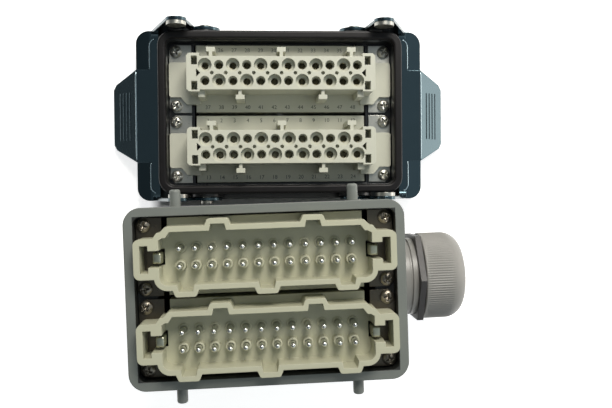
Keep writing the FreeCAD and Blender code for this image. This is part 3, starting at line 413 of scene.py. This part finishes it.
def moulded_nitrile():
    """Nitrile rubber, press moulded: near black, with a matt sheen and a slight bloom."""
    material, tree = new_material("moulded_nitrile_rubber")
    place = in_millimetres(tree)
    rubber = bpy.context.scene.connector_colours.rubber
    colour = speckled_colour(tree, rubber, place, scale=0.3, spread=0.2)
    bump = grain_bump(tree, place, scale=2.0, height_mm=0.012, edge_mm=0.3)
    rough = roughness_range(tree, place, scale=0.35, low=0.34, high=0.46)
    finish_surface(tree, colour, bump, Roughness=rough, Specular_IOR_Level=0.25)
    return material


def polished_stainless(name, colour_value):
    """Stainless sheet, pressed and polished: a dark mirror with soft drawn waves about 12 mm long."""
    material, tree = new_material(name)
    place = in_millimetres(tree)
    colour = speckled_colour(tree, colour_value, place, scale=0.05, spread=0.08)
    bump = grain_bump(tree, place, scale=0.08, height_mm=0.05, edge_mm=0.5)
    rough = roughness_range(tree, place, scale=0.2, low=0.10, high=0.17)
    finish_surface(tree, colour, bump, Roughness=rough, Metallic=1.0)
    return material


def plated_steel(name, colour_value):
    """Steel, zinc plated or tinned: silver with a cloudy, slightly grainy shine."""
    material, tree = new_material(name)
    place = in_millimetres(tree)
    colour = speckled_colour(tree, colour_value, place, scale=0.6, spread=0.12)
    bump = grain_bump(tree, place, scale=2.5, height_mm=0.012, edge_mm=0.25)
    rough = roughness_range(tree, place, scale=0.8, low=0.22, high=0.42)
    finish_surface(tree, colour, bump, Roughness=rough, Metallic=1.0)
    return material


def silver_plate(name, colour_value):
    """Copper alloy, turned and silver plated: bright or tarnished, with a fine trace of the turning."""
    material, tree = new_material(name)
    place = in_millimetres(tree)
    colour = speckled_colour(tree, colour_value, place, scale=1.0, spread=0.06)
    bump = grain_bump(tree, place, scale=6.0, height_mm=0.004, edge_mm=0.1)
    rough = roughness_range(tree, place, scale=1.0, low=0.14, high=0.24)
    finish_surface(tree, colour, bump, Roughness=rough, Metallic=1.0)
    return material


def moulded_nylon(name, colour_value, low, high):
    """Polyamide, injection moulded: dull satin with a fine spark-eroded grain. low and high are its
    roughness."""
    material, tree = new_material(name)
    place = in_millimetres(tree)
    colour = speckled_colour(tree, colour_value, place, scale=0.25, spread=0.05)
    bump = grain_bump(tree, place, scale=2.2, height_mm=0.02, edge_mm=0.5)
    rough = roughness_range(tree, place, scale=0.5, low=low, high=high)
    finish_surface(tree, colour, bump, Roughness=rough)
    return material


def number_ink():
    """Pad-printed ink: flat and dark, worn a little thin in places."""
    material, tree = new_material("pad_printed_ink")
    place = in_millimetres(tree)
    colour = speckled_colour(tree, bpy.context.scene.connector_colours.ink, place, scale=2.0, spread=0.35)
    bump = grain_bump(tree, place, scale=4.0, height_mm=0.003, edge_mm=0.02)
    finish_surface(tree, colour, bump, Roughness=0.6)
    return material


FINISHES = {}


def make_finishes():
    """Every finish, by the record's slot or by a name of its own where one slot has several finishes."""
    colours = bpy.context.scene.connector_colours
    FINISHES.update({
        "black_enamel": black_enamel(),
        "grey_powder_coat": grey_powder_coat(),
        "pale_moulding": moulded_polycarbonate("moulded_pale_polycarbonate", colours.female_plastic),
        "pale_green_moulding": moulded_polycarbonate("moulded_grey_green_polycarbonate",
                                                     colours.male_plastic),
        "black_rubber": moulded_nitrile(),
        "polished_steel": polished_stainless("polished_stainless_sheet", colours.steel),
        # Painted highlight on the lever folds and beads
        "painted_fold_highlight": polished_stainless("stainless_fold_painted_highlight", colours.burnished),
        "zinc_steel": plated_steel("zinc_plated_steel", colours.zinc),
        "tongue_tin": plated_steel("tinned_earth_contact", colours.tin),
        # Painted shade on the plates and screws deep inside the hood
        "shaded_hood_plate": plated_steel("steel_plate_painted_shade", colours.dull_zinc),
        "shaded_hood_screw": plated_steel("steel_screw_painted_shade", colours.dull_screw),
        "silver_contact": silver_plate("silver_plated_pin", colours.silver),
        "tarnished_contact": silver_plate("tarnished_silver_plated_sleeve", colours.tarnish),
        "black_plastic": moulded_nylon("moulded_black_nylon", colours.black_nylon, 0.38, 0.5),
        "grey_plastic": moulded_nylon("moulded_grey_nylon", colours.grey_nylon, 0.4, 0.52),
        "light_grey_plastic": moulded_nylon("moulded_light_grey_nylon", colours.grey_nylon, 0.3, 0.4),
        "ink": number_ink(),
    })


class CONNECTOR_OT_finishes(bpy.types.Operator):
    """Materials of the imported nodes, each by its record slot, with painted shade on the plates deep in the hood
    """
    bl_idname = "connector.finishes"
    bl_label = "Finishes"

    def execute(self, context):
        make_finishes()
        for part in frame["record"]["subparts"]:
            node = frame["nodes"][part["node"]]
            node.data.materials.clear()
            # The earth plates deep in the hood get the copy of the zinc with painted shade
            deep = part["node"].startswith("male_earth_plates")
            node.data.materials.append(FINISHES["shaded_hood_plate" if deep else part["material_slot"]])
        return {"FINISHED"}


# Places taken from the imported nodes, in millimetres

def lowest(name):
    """The lowest height of a node."""
    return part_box(name)[0].z / MM


def highest(name):
    """The highest height of a node."""
    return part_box(name)[1].z / MM


def insert_frame(name):
    """Centre and turn of an insert, from the box of one of its nodes."""
    low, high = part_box(name)
    centre = (np.array(low) + np.array(high)) / 2 / MM
    return centre, (HOOD_TURN if name.startswith("male") else 0.0)


def turned_places(local, centre, turn, height):
    """Local x, y pairs turned by an angle and moved to a centre, at one height."""
    local = np.array(local, float)
    x = centre[0] + local[:, 0] * math.cos(turn) - local[:, 1] * math.sin(turn)
    y = centre[1] + local[:, 0] * math.sin(turn) + local[:, 1] * math.cos(turn)
    return np.stack([x, y, np.full(len(x), height)], axis=1)


def contact_along(k):
    """Place of an insert's contact number k along its row, from the row's middle."""
    return (k - (CONTACTS_IN_ROW - 1) / 2) * CONTACT_PITCH


def contact_grid():
    """Local x, y of an insert's 24 contacts, in two rows."""
    return [(contact_along(k), side * CONTACT_ROW_GAP / 2)
            for k in range(CONTACTS_IN_ROW) for side in (-1, 1)]


def screw_grid():
    """Local x, y of an insert's four mounting screws."""
    return [(sx * SCREW_LONG / 2, sy * SCREW_SHORT / 2) for sx in (-1, 1) for sy in (-1, 1)]


# Mounting screws, in millimetres: the turns are those of the slots, in radians

HEAD_RADIUS = 2.9
HEAD_HEIGHT = 2.3
HEAD_FALL = 0.9
HEAD_FALL_POWER = 2.6
HEAD_SIDE_DROP = 1.15
RING_POWER = 0.8
SLOT_SIDE_FADE = 0.12
SLOT_END_FADE = 0.2
SLOT_FLOOR_RISE = 0.45
SHANK_RADIUS = 1.5
SHANK_LENGTH = 9.8
FIRST_TURN = 0.4
NEXT_TURN = 1.1
ROW_TURNS = {"rear": 0.5, "front": 0.0}
HALF_TURNS = {"female": 0.0, "male": 0.8}


def screw_surface(spin):
    """A pan head with a cross recess over its shank. The crown's rings lie at a power of the share of the
    way out, a little closer towards the edge, and its height falls with a power of the share of the
    head's radius. Two slots sink into it where the distance across a slot is under half its width, and
    their floors rise in proportion to the distance from the middle."""
    sizes = bpy.context.scene.connector_sizes
    rings, segments = 30, 96
    angle = np.linspace(0, 2 * np.pi, segments, endpoint=False)
    r = np.repeat((HEAD_RADIUS * np.linspace(0, 1, rings) ** RING_POWER)[:, None], segments, axis=1)
    turned = angle + spin
    x, y = r * np.cos(turned), r * np.sin(turned)
    u, v = r * np.cos(turned - spin), r * np.sin(turned - spin)
    slots = np.zeros_like(r)
    for across, reach in ((u, v), (v, u)):
        inside = 1 - smooth_step(sizes.recess_width / 2, SLOT_SIDE_FADE, np.abs(across))
        ending = 1 - smooth_step(sizes.recess_reach, SLOT_END_FADE, np.abs(reach))
        floor = 1 - SLOT_FLOOR_RISE * np.abs(reach) / sizes.recess_reach
        slots = np.maximum(slots, inside * ending * floor)
    z = HEAD_HEIGHT - HEAD_FALL * (r / HEAD_RADIUS) ** HEAD_FALL_POWER - sizes.recess_depth * slots
    crown = np.stack([x, y, z], axis=-1).reshape(-1, 3)
    radius = np.array([HEAD_RADIUS, HEAD_RADIUS, SHANK_RADIUS, SHANK_RADIUS, 0.0])
    height = np.array([HEAD_HEIGHT - HEAD_SIDE_DROP, 0.0, 0.0, -SHANK_LENGTH, -SHANK_LENGTH])
    points = np.concatenate([crown, rings_round_z(radius, height, turned)])
    return points, grid_faces(rings + len(radius), segments, True)


class CONNECTOR_OT_screws(bpy.types.Operator):
    """Pan head screws with cross recesses in place of the plain ones"""
    bl_idname = "connector.screws"
    bl_label = "Mounting screws"

    def execute(self, context):
        # The hood's screws get the copy of the zinc with painted shade
        for half, body, finish in (("female", "housing", "zinc_steel"), ("male", "hood", "shaded_hood_screw")):
            for row in ROWS:
                name = "%s_screws_%s" % (half, row)
                centre, turn = insert_frame(name)
                seat = highest("female_earth_plates_" + row)
                if half == "male":
                    seat = lowest("male_earth_plates_" + row) + PLATE_THICKNESS
                pieces = []
                for k, place in enumerate(turned_places(screw_grid(), centre, turn, seat)):
                    spin = FIRST_TURN + NEXT_TURN * k + ROW_TURNS[row] + HALF_TURNS[half]
                    points, faces = screw_surface(spin)
                    pieces.append((points + place, faces))
                points, faces = joined(pieces)
                add_piece(name.replace("screws", "cross_screws"), points, faces, body,
                          FINISHES[finish], replaces=[name], crease=40)
        return {"FINISHED"}


# Pins, contacts and collars, in millimetres

SLEEVE_EDGE = 0.15
SLEEVE_EDGE_HEIGHT = 0.4
SLEEVE_MOUTH_DEPTH = 0.2
SLEEVE_BORE_DEPTH = 10.0
ROUND_SEGMENTS = 28
COLLAR_CLEARANCE = 0.12
COLLAR_ROUND = 0.35
COLLAR_FOOT = 0.5
COLLAR_FLARE = 0.2
COLLAR_FLARE_TOP = 0.3
COLLAR_MOUTH = 0.3
COLLAR_SEGMENTS = 32


def pin_surface(radius, length):
    """A round pin with a domed tip, from its foot at z = 0."""
    dome = quarter_round(radius, length, radius, 8)
    return lathe([(0, 0), (radius, 0)] + dome[:-1] + [(0, length)], ROUND_SEGMENTS)


def sleeve_surface(outer, bore, length):
    """A round contact with a bevelled, open mouth and a blind bore, from its foot at z = 0."""
    return lathe([(0, 0), (outer, 0), (outer, length - SLEEVE_EDGE_HEIGHT), (outer - SLEEVE_EDGE, length),
                  (bore + SLEEVE_EDGE, length), (bore, length - SLEEVE_MOUTH_DEPTH),
                  (bore, length - SLEEVE_BORE_DEPTH), (0, length - SLEEVE_BORE_DEPTH)], ROUND_SEGMENTS)


def collar_surface(outer, bore, height):
    """A ring with a flared foot sunk below z = 0, a rounded outer edge and a bevelled mouth."""
    profile = [(bore, -COLLAR_FOOT), (outer + COLLAR_FLARE, -COLLAR_FOOT), (outer, COLLAR_FLARE_TOP)]
    profile += quarter_round(outer, height, COLLAR_ROUND, 5)
    profile += [(bore + COLLAR_MOUTH, height), (bore, height - COLLAR_MOUTH), (bore, -COLLAR_FOOT)]
    return lathe(profile, COLLAR_SEGMENTS)


class CONNECTOR_OT_contacts(bpy.types.Operator):
    """Round pins with domed tips and round contact sleeves"""
    bl_idname = "connector.contacts"
    bl_label = "Pins and contacts"

    def execute(self, context):
        sizes = context.scene.connector_sizes
        for row in ROWS:
            pins = "male_pins_" + row
            surface = pin_surface(sizes.pin_radius, self.length(pins))
            self.add_set(pins, surface, "round_pins_" + row, "hood", "silver_contact")
            contacts = "female_contacts_" + row
            surface = sleeve_surface(sizes.contact_radius, sizes.contact_bore, self.length(contacts))
            self.add_set(contacts, surface, "contact_sleeves_" + row, "housing", "tarnished_contact")
        return {"FINISHED"}

    @staticmethod
    def length(node):
        """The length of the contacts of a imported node."""
        low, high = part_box(node)
        return (high.z - low.z) / MM

    @staticmethod
    def add_set(node, surface, name, body, finish):
        """An insert's 24 contacts as one piece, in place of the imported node."""
        centre, turn = insert_frame(node)
        points, faces = repeat(*surface, turned_places(contact_grid(), centre, turn, lowest(node)))
        add_piece(name, points, faces, body, FINISHES[finish], replaces=[node])


class CONNECTOR_OT_collars(bpy.types.Operator):
    """Moulded collars round the pins, low in one row and high in the other"""
    bl_idname = "connector.collars"
    bl_label = "Pin collars"

    def execute(self, context):
        sizes = context.scene.connector_sizes
        bore = sizes.pin_radius + COLLAR_CLEARANCE
        for row in ROWS:
            centre, turn = insert_frame("male_pins_" + row)
            foot = lowest("male_pins_" + row)
            pieces = []
            for side, height in ((1, sizes.low_collar), (-1, sizes.high_collar)):
                points, faces = collar_surface(sizes.collar_radius, bore, height)
                places = [place for place in contact_grid() if place[1] * side > 0]
                pieces.append(repeat(points, faces, turned_places(places, centre, turn, foot)))
            points, faces = joined(pieces)
            add_piece("pin_collars_" + row, points, faces, "hood",
                      FINISHES["pale_green_moulding"], crease=50)
        return {"FINISHED"}


# Earth tongues and lever folds, in millimetres

TONGUE_PLACE = 45.55
TONGUE_HALF_LENGTH = 1.85
TONGUE_HALF_WIDTH = 2.4
TONGUE_FOOT = 1.0
TONGUE_RISE = 0.25
FOLD_SUNK = 0.3
BEAD_SUNK = 0.12
BEAD_STRAIGHT = 35.5
BEAD_BEND = 4.0
BEAD_TURN_START = 0.1
BEAD_TURN_END = 1.35


class CONNECTOR_OT_earth_tongues(bpy.types.Operator):
    """Folded earth contact in the slot at each end of the male inserts"""
    bl_idname = "connector.earth_tongues"
    bl_label = "Earth tongues"

    def execute(self, context):
        ends = [(-TONGUE_PLACE, 0.0), (TONGUE_PLACE, 0.0)]
        for row in ROWS:
            plates = "male_earth_plates_" + row
            centre, turn = insert_frame(plates)
            bottom, top = lowest(plates) + TONGUE_FOOT, highest(plates) + TONGUE_RISE
            half = (TONGUE_HALF_LENGTH, TONGUE_HALF_WIDTH, (top - bottom) / 2)
            points, faces = joined([rounded_block(place, half, turn)
                                    for place in turned_places(ends, centre, turn, (bottom + top) / 2)])
            add_piece("earth_tongues_" + row, points, faces, "hood",
                      FINISHES["tongue_tin"], crease=60)
        return {"FINISHED"}


class CONNECTOR_OT_lever_folds(bpy.types.Operator):
    """Fold at the root of each lever's tab and pressed beads beside it, in a lighter steel that is a painted
    highlight
    """
    bl_idname = "connector.lever_folds"
    bl_label = "Lever folds"

    def execute(self, context):
        sizes = context.scene.connector_sizes
        for side, sx in (("left", -1), ("right", 1)):
            root = [(sx * LEVER_WEB_EDGE, y, LEVER_TOP - FOLD_SUNK)
                    for y in np.linspace(-LEVER_TAB_HALF, LEVER_TAB_HALF, 40)]
            pieces = [bead(root, sizes.fold_radius)]
            for sy in (-1, 1):
                path = [(sx * x, sy * y, LEVER_TOP - BEAD_SUNK) for x, y in self.bead_line()]
                pieces.append(bead(path, sizes.bead_radius))
            points, faces = joined(pieces)
            add_piece("lever_folds_" + side, points, faces, side + "_lever",
                      # Their material is a painted highlight: a lighter copy of the lever steel
                      FINISHES["painted_fold_highlight"], crease=80)
        return {"FINISHED"}

    @staticmethod
    def bead_line():
        """x, y of a bead: straight along the crease from the tab's end, then on an arc towards the wall."""
        bend_x = LEVER_CREASE - BEAD_BEND
        line = [(LEVER_CREASE, y) for y in np.linspace(LEVER_TAB_HALF, BEAD_STRAIGHT, 16)]
        line += [(bend_x + BEAD_BEND * math.cos(a), BEAD_STRAIGHT + BEAD_BEND * math.sin(a))
                 for a in np.linspace(BEAD_TURN_START, BEAD_TURN_END, 12)]
        return line


# Gland cap, in millimetres

CAP_RADIUS = 20.8
CAP_DOME = 8.5
CAP_WALL_BORE = 17.5
CAP_MOUTH = 11.5
CAP_LIP = 2.5
CAP_EDGE = 0.6
CAP_EDGE_STEP = 0.1
CAP_EDGE_HEIGHT = 0.3
CAP_OUTSIDE = 18.0
GRIP_START = 0.8
GRIP_END = 2.2
RIB_START = 1.0
RIB_START_FADE = 0.6
RIB_DOME_REACH = 1.5
RIB_DOME_FADE = 2.5
POINTS_PER_RIB = 6


def gland_reach(name):
    """Start and end of a gland node along the gland's axis, from the hood's middle."""
    co = np.array([v.co for v in frame["nodes"][name].data.vertices])
    along = (co - np.array(GLAND_CENTRE)) @ np.array(GLAND_AXIS) / MM
    return along.min(), along.max()


def cap_profile(start, end):
    """The cap's closed section, from its bevelled open edge over the grip and the dome to the mouth."""
    profile = [(CAP_WALL_BORE, start), (CAP_RADIUS - CAP_EDGE, start),
               (CAP_RADIUS - CAP_EDGE_STEP, start + CAP_EDGE_HEIGHT)]
    profile += [(CAP_RADIUS, z) for z in np.linspace(start + GRIP_START, end - CAP_DOME - GRIP_END, 10)]
    profile += quarter_round(CAP_RADIUS, end, CAP_DOME, 14)
    return profile + [(CAP_MOUTH, end), (CAP_MOUTH, end - CAP_LIP), (CAP_WALL_BORE, end - CAP_LIP),
                      (CAP_WALL_BORE, start)]


def cap_surface(start, end):
    """The cap's section turned round +Z, with its grip ribs: past the radius where the outside begins, each
    radius shrinks by the rib depth times half of 1 less the cosine of the rib count times the angle, and
    this fades out at both ends of the grip."""
    sizes = bpy.context.scene.connector_sizes
    profile = cap_profile(start, end)
    segments = sizes.cap_rib_count * POINTS_PER_RIB
    points, faces = lathe(profile, segments)
    angle = np.tile(np.arange(segments) * 2 * np.pi / segments, len(profile))
    height = points[:, 2]
    ending = smooth_step(end - CAP_DOME + RIB_DOME_REACH, RIB_DOME_FADE, height)
    fade = smooth_step(start + RIB_START, RIB_START_FADE, height) * (1 - ending)
    wave = 0.5 - 0.5 * np.cos(sizes.cap_rib_count * angle)
    outside = np.hypot(points[:, 0], points[:, 1]) > CAP_OUTSIDE
    shrink = np.where(outside, 1 - sizes.cap_rib_depth * fade * wave / CAP_RADIUS, 1.0)
    points[:, :2] *= shrink[:, None]
    return points, faces


class CONNECTOR_OT_gland_cap(bpy.types.Operator):
    """Gland cap with fine grip ribs and a domed end"""
    bl_idname = "connector.gland_cap"
    bl_label = "Gland cap"

    def execute(self, context):
        points, faces = cap_surface(*gland_reach("gland_cap"))
        add_piece("ribbed_gland_cap", to_gland(points), faces, "gland_cap",
                  FINISHES["grey_plastic"], replaces=["gland_cap"], crease=50)
        return {"FINISHED"}


# Contact numbers, in millimetres

FIRST_NUMBERS = {"rear": 25, "front": 1}
NUMBER_OFFSET = 14.2
INK_LIFT = 0.02
INK_THICKNESS = 0.01
DIGIT_SHARE_OF_SIZE = 0.7


def add_number(number, height, place):
    """Flat printed digits, made a mesh first and then moved to their place."""
    name = "number_%d" % number
    curve = bpy.data.curves.new(name, "FONT")
    curve.body = str(number)
    curve.size = height * MM / DIGIT_SHARE_OF_SIZE
    curve.align_x = "CENTER"
    curve.align_y = "CENTER"
    curve.extrude = INK_THICKNESS * MM
    curve.resolution_u = 3
    holder = bpy.data.objects.new(name + "_text", curve)
    bpy.context.scene.collection.objects.link(holder)
    mesh = bpy.data.meshes.new_from_object(holder)
    bpy.data.objects.remove(holder)
    mesh.transform(Matrix.Translation(Vector(place) * MM))
    mesh.materials.clear()
    mesh.materials.append(FINISHES["ink"])
    piece = bpy.data.objects.new(name, mesh)
    bpy.context.scene.collection.objects.link(piece)
    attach(piece, "housing")


class CONNECTOR_OT_numbers(bpy.types.Operator):
    """Contact numbers printed on the ledges of the female inserts"""
    bl_idname = "connector.numbers"
    bl_label = "Contact numbers"

    def execute(self, context):
        height = context.scene.connector_sizes.digit_height
        for row in ROWS:
            centre = insert_frame("female_contacts_" + row)[0]
            level = highest("female_insert_" + row) - BLOCK_HEIGHT + INK_LIFT
            for side, start in ((1, FIRST_NUMBERS[row]), (-1, FIRST_NUMBERS[row] + CONTACTS_IN_ROW)):
                y = centre[1] + side * NUMBER_OFFSET
                for k in range(CONTACTS_IN_ROW):
                    add_number(start + k, height, (centre[0] + contact_along(k), y, level))
        return {"FINISHED"}


# Stage: the camera's place in millimetres and turns in degrees, all else in metres

CAMERA_PLACE = (-9.8, -38.7, 374.5)
CAMERA_TURNS = (-1.05, -3.59, -0.51)
FOCAL_PIXELS = 700.0
IMAGE_WIDTH = 612.0
SENSOR_WIDTH = 36.0
CONNECTOR_MIDDLE = (0.0, -0.04, 0.03)
LAMPS = (
    ("ceiling_lamp", (0.12, 0.48, 0.62), (0.35, 0.35), 6.0, "#fffaf2"),
    ("window", (0.70, 0.07, 0.14), (0.45, 0.24), 1.05, "#fff3e8"),
)
FLOOR_DROP = 0.0002
FLOOR_RINGS = (0.001, 1.5, 5.5, 6.5, 7.5, 8.5, 9.5)
FLOOR_FLAT = 5.5
FLOOR_CURVE = 25.0
FLOOR_GLOW = 0.72
HOUSING_SHADE = (("X", -0.006, 0.060), ("Y", -0.003, 0.0455))
SHADE_FADE = 0.003


def add_light(name, place, size, power, colour):
    """A rectangular lamp that faces the connector and that the camera doesn't see."""
    data = bpy.data.lights.new(name, "AREA")
    data.shape = "RECTANGLE"
    data.size, data.size_y = size
    data.energy = power
    data.color = linear(colour)[:3]
    lamp = bpy.data.objects.new(name, data)
    lamp.visible_camera = False
    lamp.location = place
    facing = Vector(CONNECTOR_MIDDLE) - Vector(place)
    lamp.rotation_euler = facing.to_track_quat("-Z", "Y").to_euler()
    bpy.context.scene.collection.objects.link(lamp)


def clear_of_the_housing(tree):
    """0 under the housing and in the slit between the two halves, and the floor's glow elsewhere: along
    each axis the distance from the shade's middle is set against its reach, and the larger one counts."""
    place = add_node(tree, "ShaderNodeTexCoord")
    parts = add_node(tree, "ShaderNodeSeparateXYZ", {0: place.outputs["Object"]})
    clear = 0.0
    for axis, middle, reach in HOUSING_SHADE:
        moved = add_node(tree, "ShaderNodeMath", {0: parts.outputs[axis], 1: middle}, operation="SUBTRACT")
        away = add_node(tree, "ShaderNodeMath", {0: moved.outputs[0]}, operation="ABSOLUTE")
        beyond = add_node(tree, "ShaderNodeMapRange",
                          {"Value": away.outputs[0], "From Min": reach - SHADE_FADE,
                           "From Max": reach + SHADE_FADE, "To Max": FLOOR_GLOW})
        clear = add_node(tree, "ShaderNodeMath", {0: clear, 1: beyond.outputs[0]},
                         operation="MAXIMUM").outputs[0]
    return clear


def painted_board():
    """Board, painted white: it has its own colour where light falls on it, and glows for rays that come
    from the camera, straight, off a shiny face or through a clear one."""
    material, tree = new_material("painted_board")
    lit = add_node(tree, "ShaderNodeBsdfDiffuse", {"Color": linear("#e9e9e7")})
    glow = add_node(tree, "ShaderNodeEmission", {"Color": linear("#ffffff"),
                                                 "Strength": clear_of_the_housing(tree)})
    both = add_node(tree, "ShaderNodeAddShader", {0: lit.outputs[0], 1: glow.outputs[0]})
    seen = add_node(tree, "ShaderNodeLightPath")
    ray = seen.outputs["Is Camera Ray"]
    for other in ("Is Glossy Ray", "Is Transmission Ray"):
        ray = add_node(tree, "ShaderNodeMath", {0: ray, 1: seen.outputs[other]},
                       operation="MAXIMUM").outputs[0]
    choice = add_node(tree, "ShaderNodeMixShader", {0: ray, 1: lit.outputs[0], 2: both.outputs[0]})
    add_node(tree, "ShaderNodeOutputMaterial", {"Surface": choice.outputs[0]})
    return material


class CONNECTOR_OT_stage(bpy.types.Operator):
    """Pale floor, soft lamps and the camera at the photograph's angle"""
    bl_idname = "connector.stage"
    bl_label = "Stage"

    def execute(self, context):
        scene = context.scene
        self.add_camera(scene)
        self.add_floor(scene)
        self.add_world(scene)
        for name, place, size, power, colour in LAMPS:
            add_light(name, place, size, power, colour)
        scene.view_settings.view_transform = "Standard"
        return {"FINISHED"}

    @staticmethod
    def add_camera(scene):
        """The camera of the photograph: its turns are about X, then Y, then Z."""
        camera = bpy.data.objects.new("camera", bpy.data.cameras.new("camera"))
        camera.data.sensor_width = SENSOR_WIDTH
        camera.data.lens = FOCAL_PIXELS / IMAGE_WIDTH * SENSOR_WIDTH
        camera.data.clip_start = 0.01
        about_x, about_y, about_z = (math.radians(a) for a in CAMERA_TURNS)
        turn = (Matrix.Rotation(about_z, 4, "Z") @ Matrix.Rotation(about_y, 4, "Y")
                @ Matrix.Rotation(about_x, 4, "X"))
        camera.matrix_world = Matrix.Translation(Vector(CAMERA_PLACE) * MM) @ turn
        scene.collection.objects.link(camera)
        scene.camera = camera

    @staticmethod
    def add_floor(scene):
        """A wide board whose far edge curves up: its height is 0 over the flat part, and past that the
        square of the way beyond it over the curve."""
        radius = np.array(FLOOR_RINGS)
        height = np.maximum(radius - FLOOR_FLAT, 0) ** 2 / FLOOR_CURVE
        points, faces = lathe(np.stack([radius, height], axis=1), 96)
        mesh = bpy.data.meshes.new("floor")
        mesh.from_pydata(points.tolist(), [], faces[:, ::-1].tolist())
        mesh.polygons.foreach_set("use_smooth", [True] * len(mesh.polygons))
        mesh.transform(Matrix.Translation((0, 0, CAD_BOX[0][2] - FLOOR_DROP)))
        mesh.materials.append(painted_board())
        floor = bpy.data.objects.new("floor", mesh)
        scene.collection.objects.link(floor)

    @staticmethod
    def add_world(scene):
        """A room that is pale near the horizon, dimmer overhead and a little brighter on the window's side:
        its colour follows the height of each ray, and its strength the ray's way along X."""
        world = bpy.data.worlds.new("studio")
        scene.world = world
        world.use_nodes = True
        tree = world.node_tree
        tree.nodes.clear()
        ray = add_node(tree, "ShaderNodeTexCoord")
        parts = add_node(tree, "ShaderNodeSeparateXYZ", {0: ray.outputs["Generated"]})
        height = add_node(tree, "ShaderNodeMapRange",
                          {"Value": parts.outputs["Z"], "From Min": 0.15, "From Max": 0.8},
                          interpolation_type="SMOOTHSTEP")
        tint = add_node(tree, "ShaderNodeMix", {"Factor": height.outputs[0], 6: linear("#e8eaeb"),
                                                7: linear("#a3adb2")}, data_type="RGBA")
        side = add_node(tree, "ShaderNodeMapRange",
                        {"Value": parts.outputs["X"], "From Min": -0.4, "From Max": 0.4,
                         "To Min": 0.3, "To Max": 1.25})
        air = add_node(tree, "ShaderNodeBackground",
                       {"Color": tint.outputs[2], "Strength": side.outputs[0]})
        add_node(tree, "ShaderNodeOutputWorld", {"Surface": air.outputs[0]})


PIECE_OPERATORS = (
    CONNECTOR_OT_finishes, CONNECTOR_OT_screws, CONNECTOR_OT_contacts, CONNECTOR_OT_collars,
    CONNECTOR_OT_earth_tongues, CONNECTOR_OT_lever_folds, CONNECTOR_OT_gland_cap,
    CONNECTOR_OT_numbers, CONNECTOR_OT_stage)


class CONNECTOR_PT_panel(bpy.types.Panel):
    """Lists the connector's operators"""
    bl_label = "Connector"
    bl_idname = "CONNECTOR_PT_panel"
    bl_space_type = "VIEW_3D"
    bl_region_type = "UI"
    bl_category = "Connector"

    def draw(self, context):
        for operator in PIECE_OPERATORS:
            self.layout.operator(operator.bl_idname)


CLASSES = (ConnectorSizes, ConnectorColours) + PIECE_OPERATORS + (CONNECTOR_PT_panel,)


def register():
    for item in CLASSES:
        bpy.utils.register_class(item)
    bpy.types.Scene.connector_sizes = bpy.props.PointerProperty(type=ConnectorSizes)
    bpy.types.Scene.connector_colours = bpy.props.PointerProperty(type=ConnectorColours)


def unregister():
    del bpy.types.Scene.connector_sizes
    del bpy.types.Scene.connector_colours
    for item in reversed(CLASSES):
        bpy.utils.unregister_class(item)


def main():
    """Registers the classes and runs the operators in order."""
    register()
    for operator in PIECE_OPERATORS:
        group, name = operator.bl_idname.split(".")
        getattr(getattr(bpy.ops, group), name)()


if __name__ == "__main__":
    main()
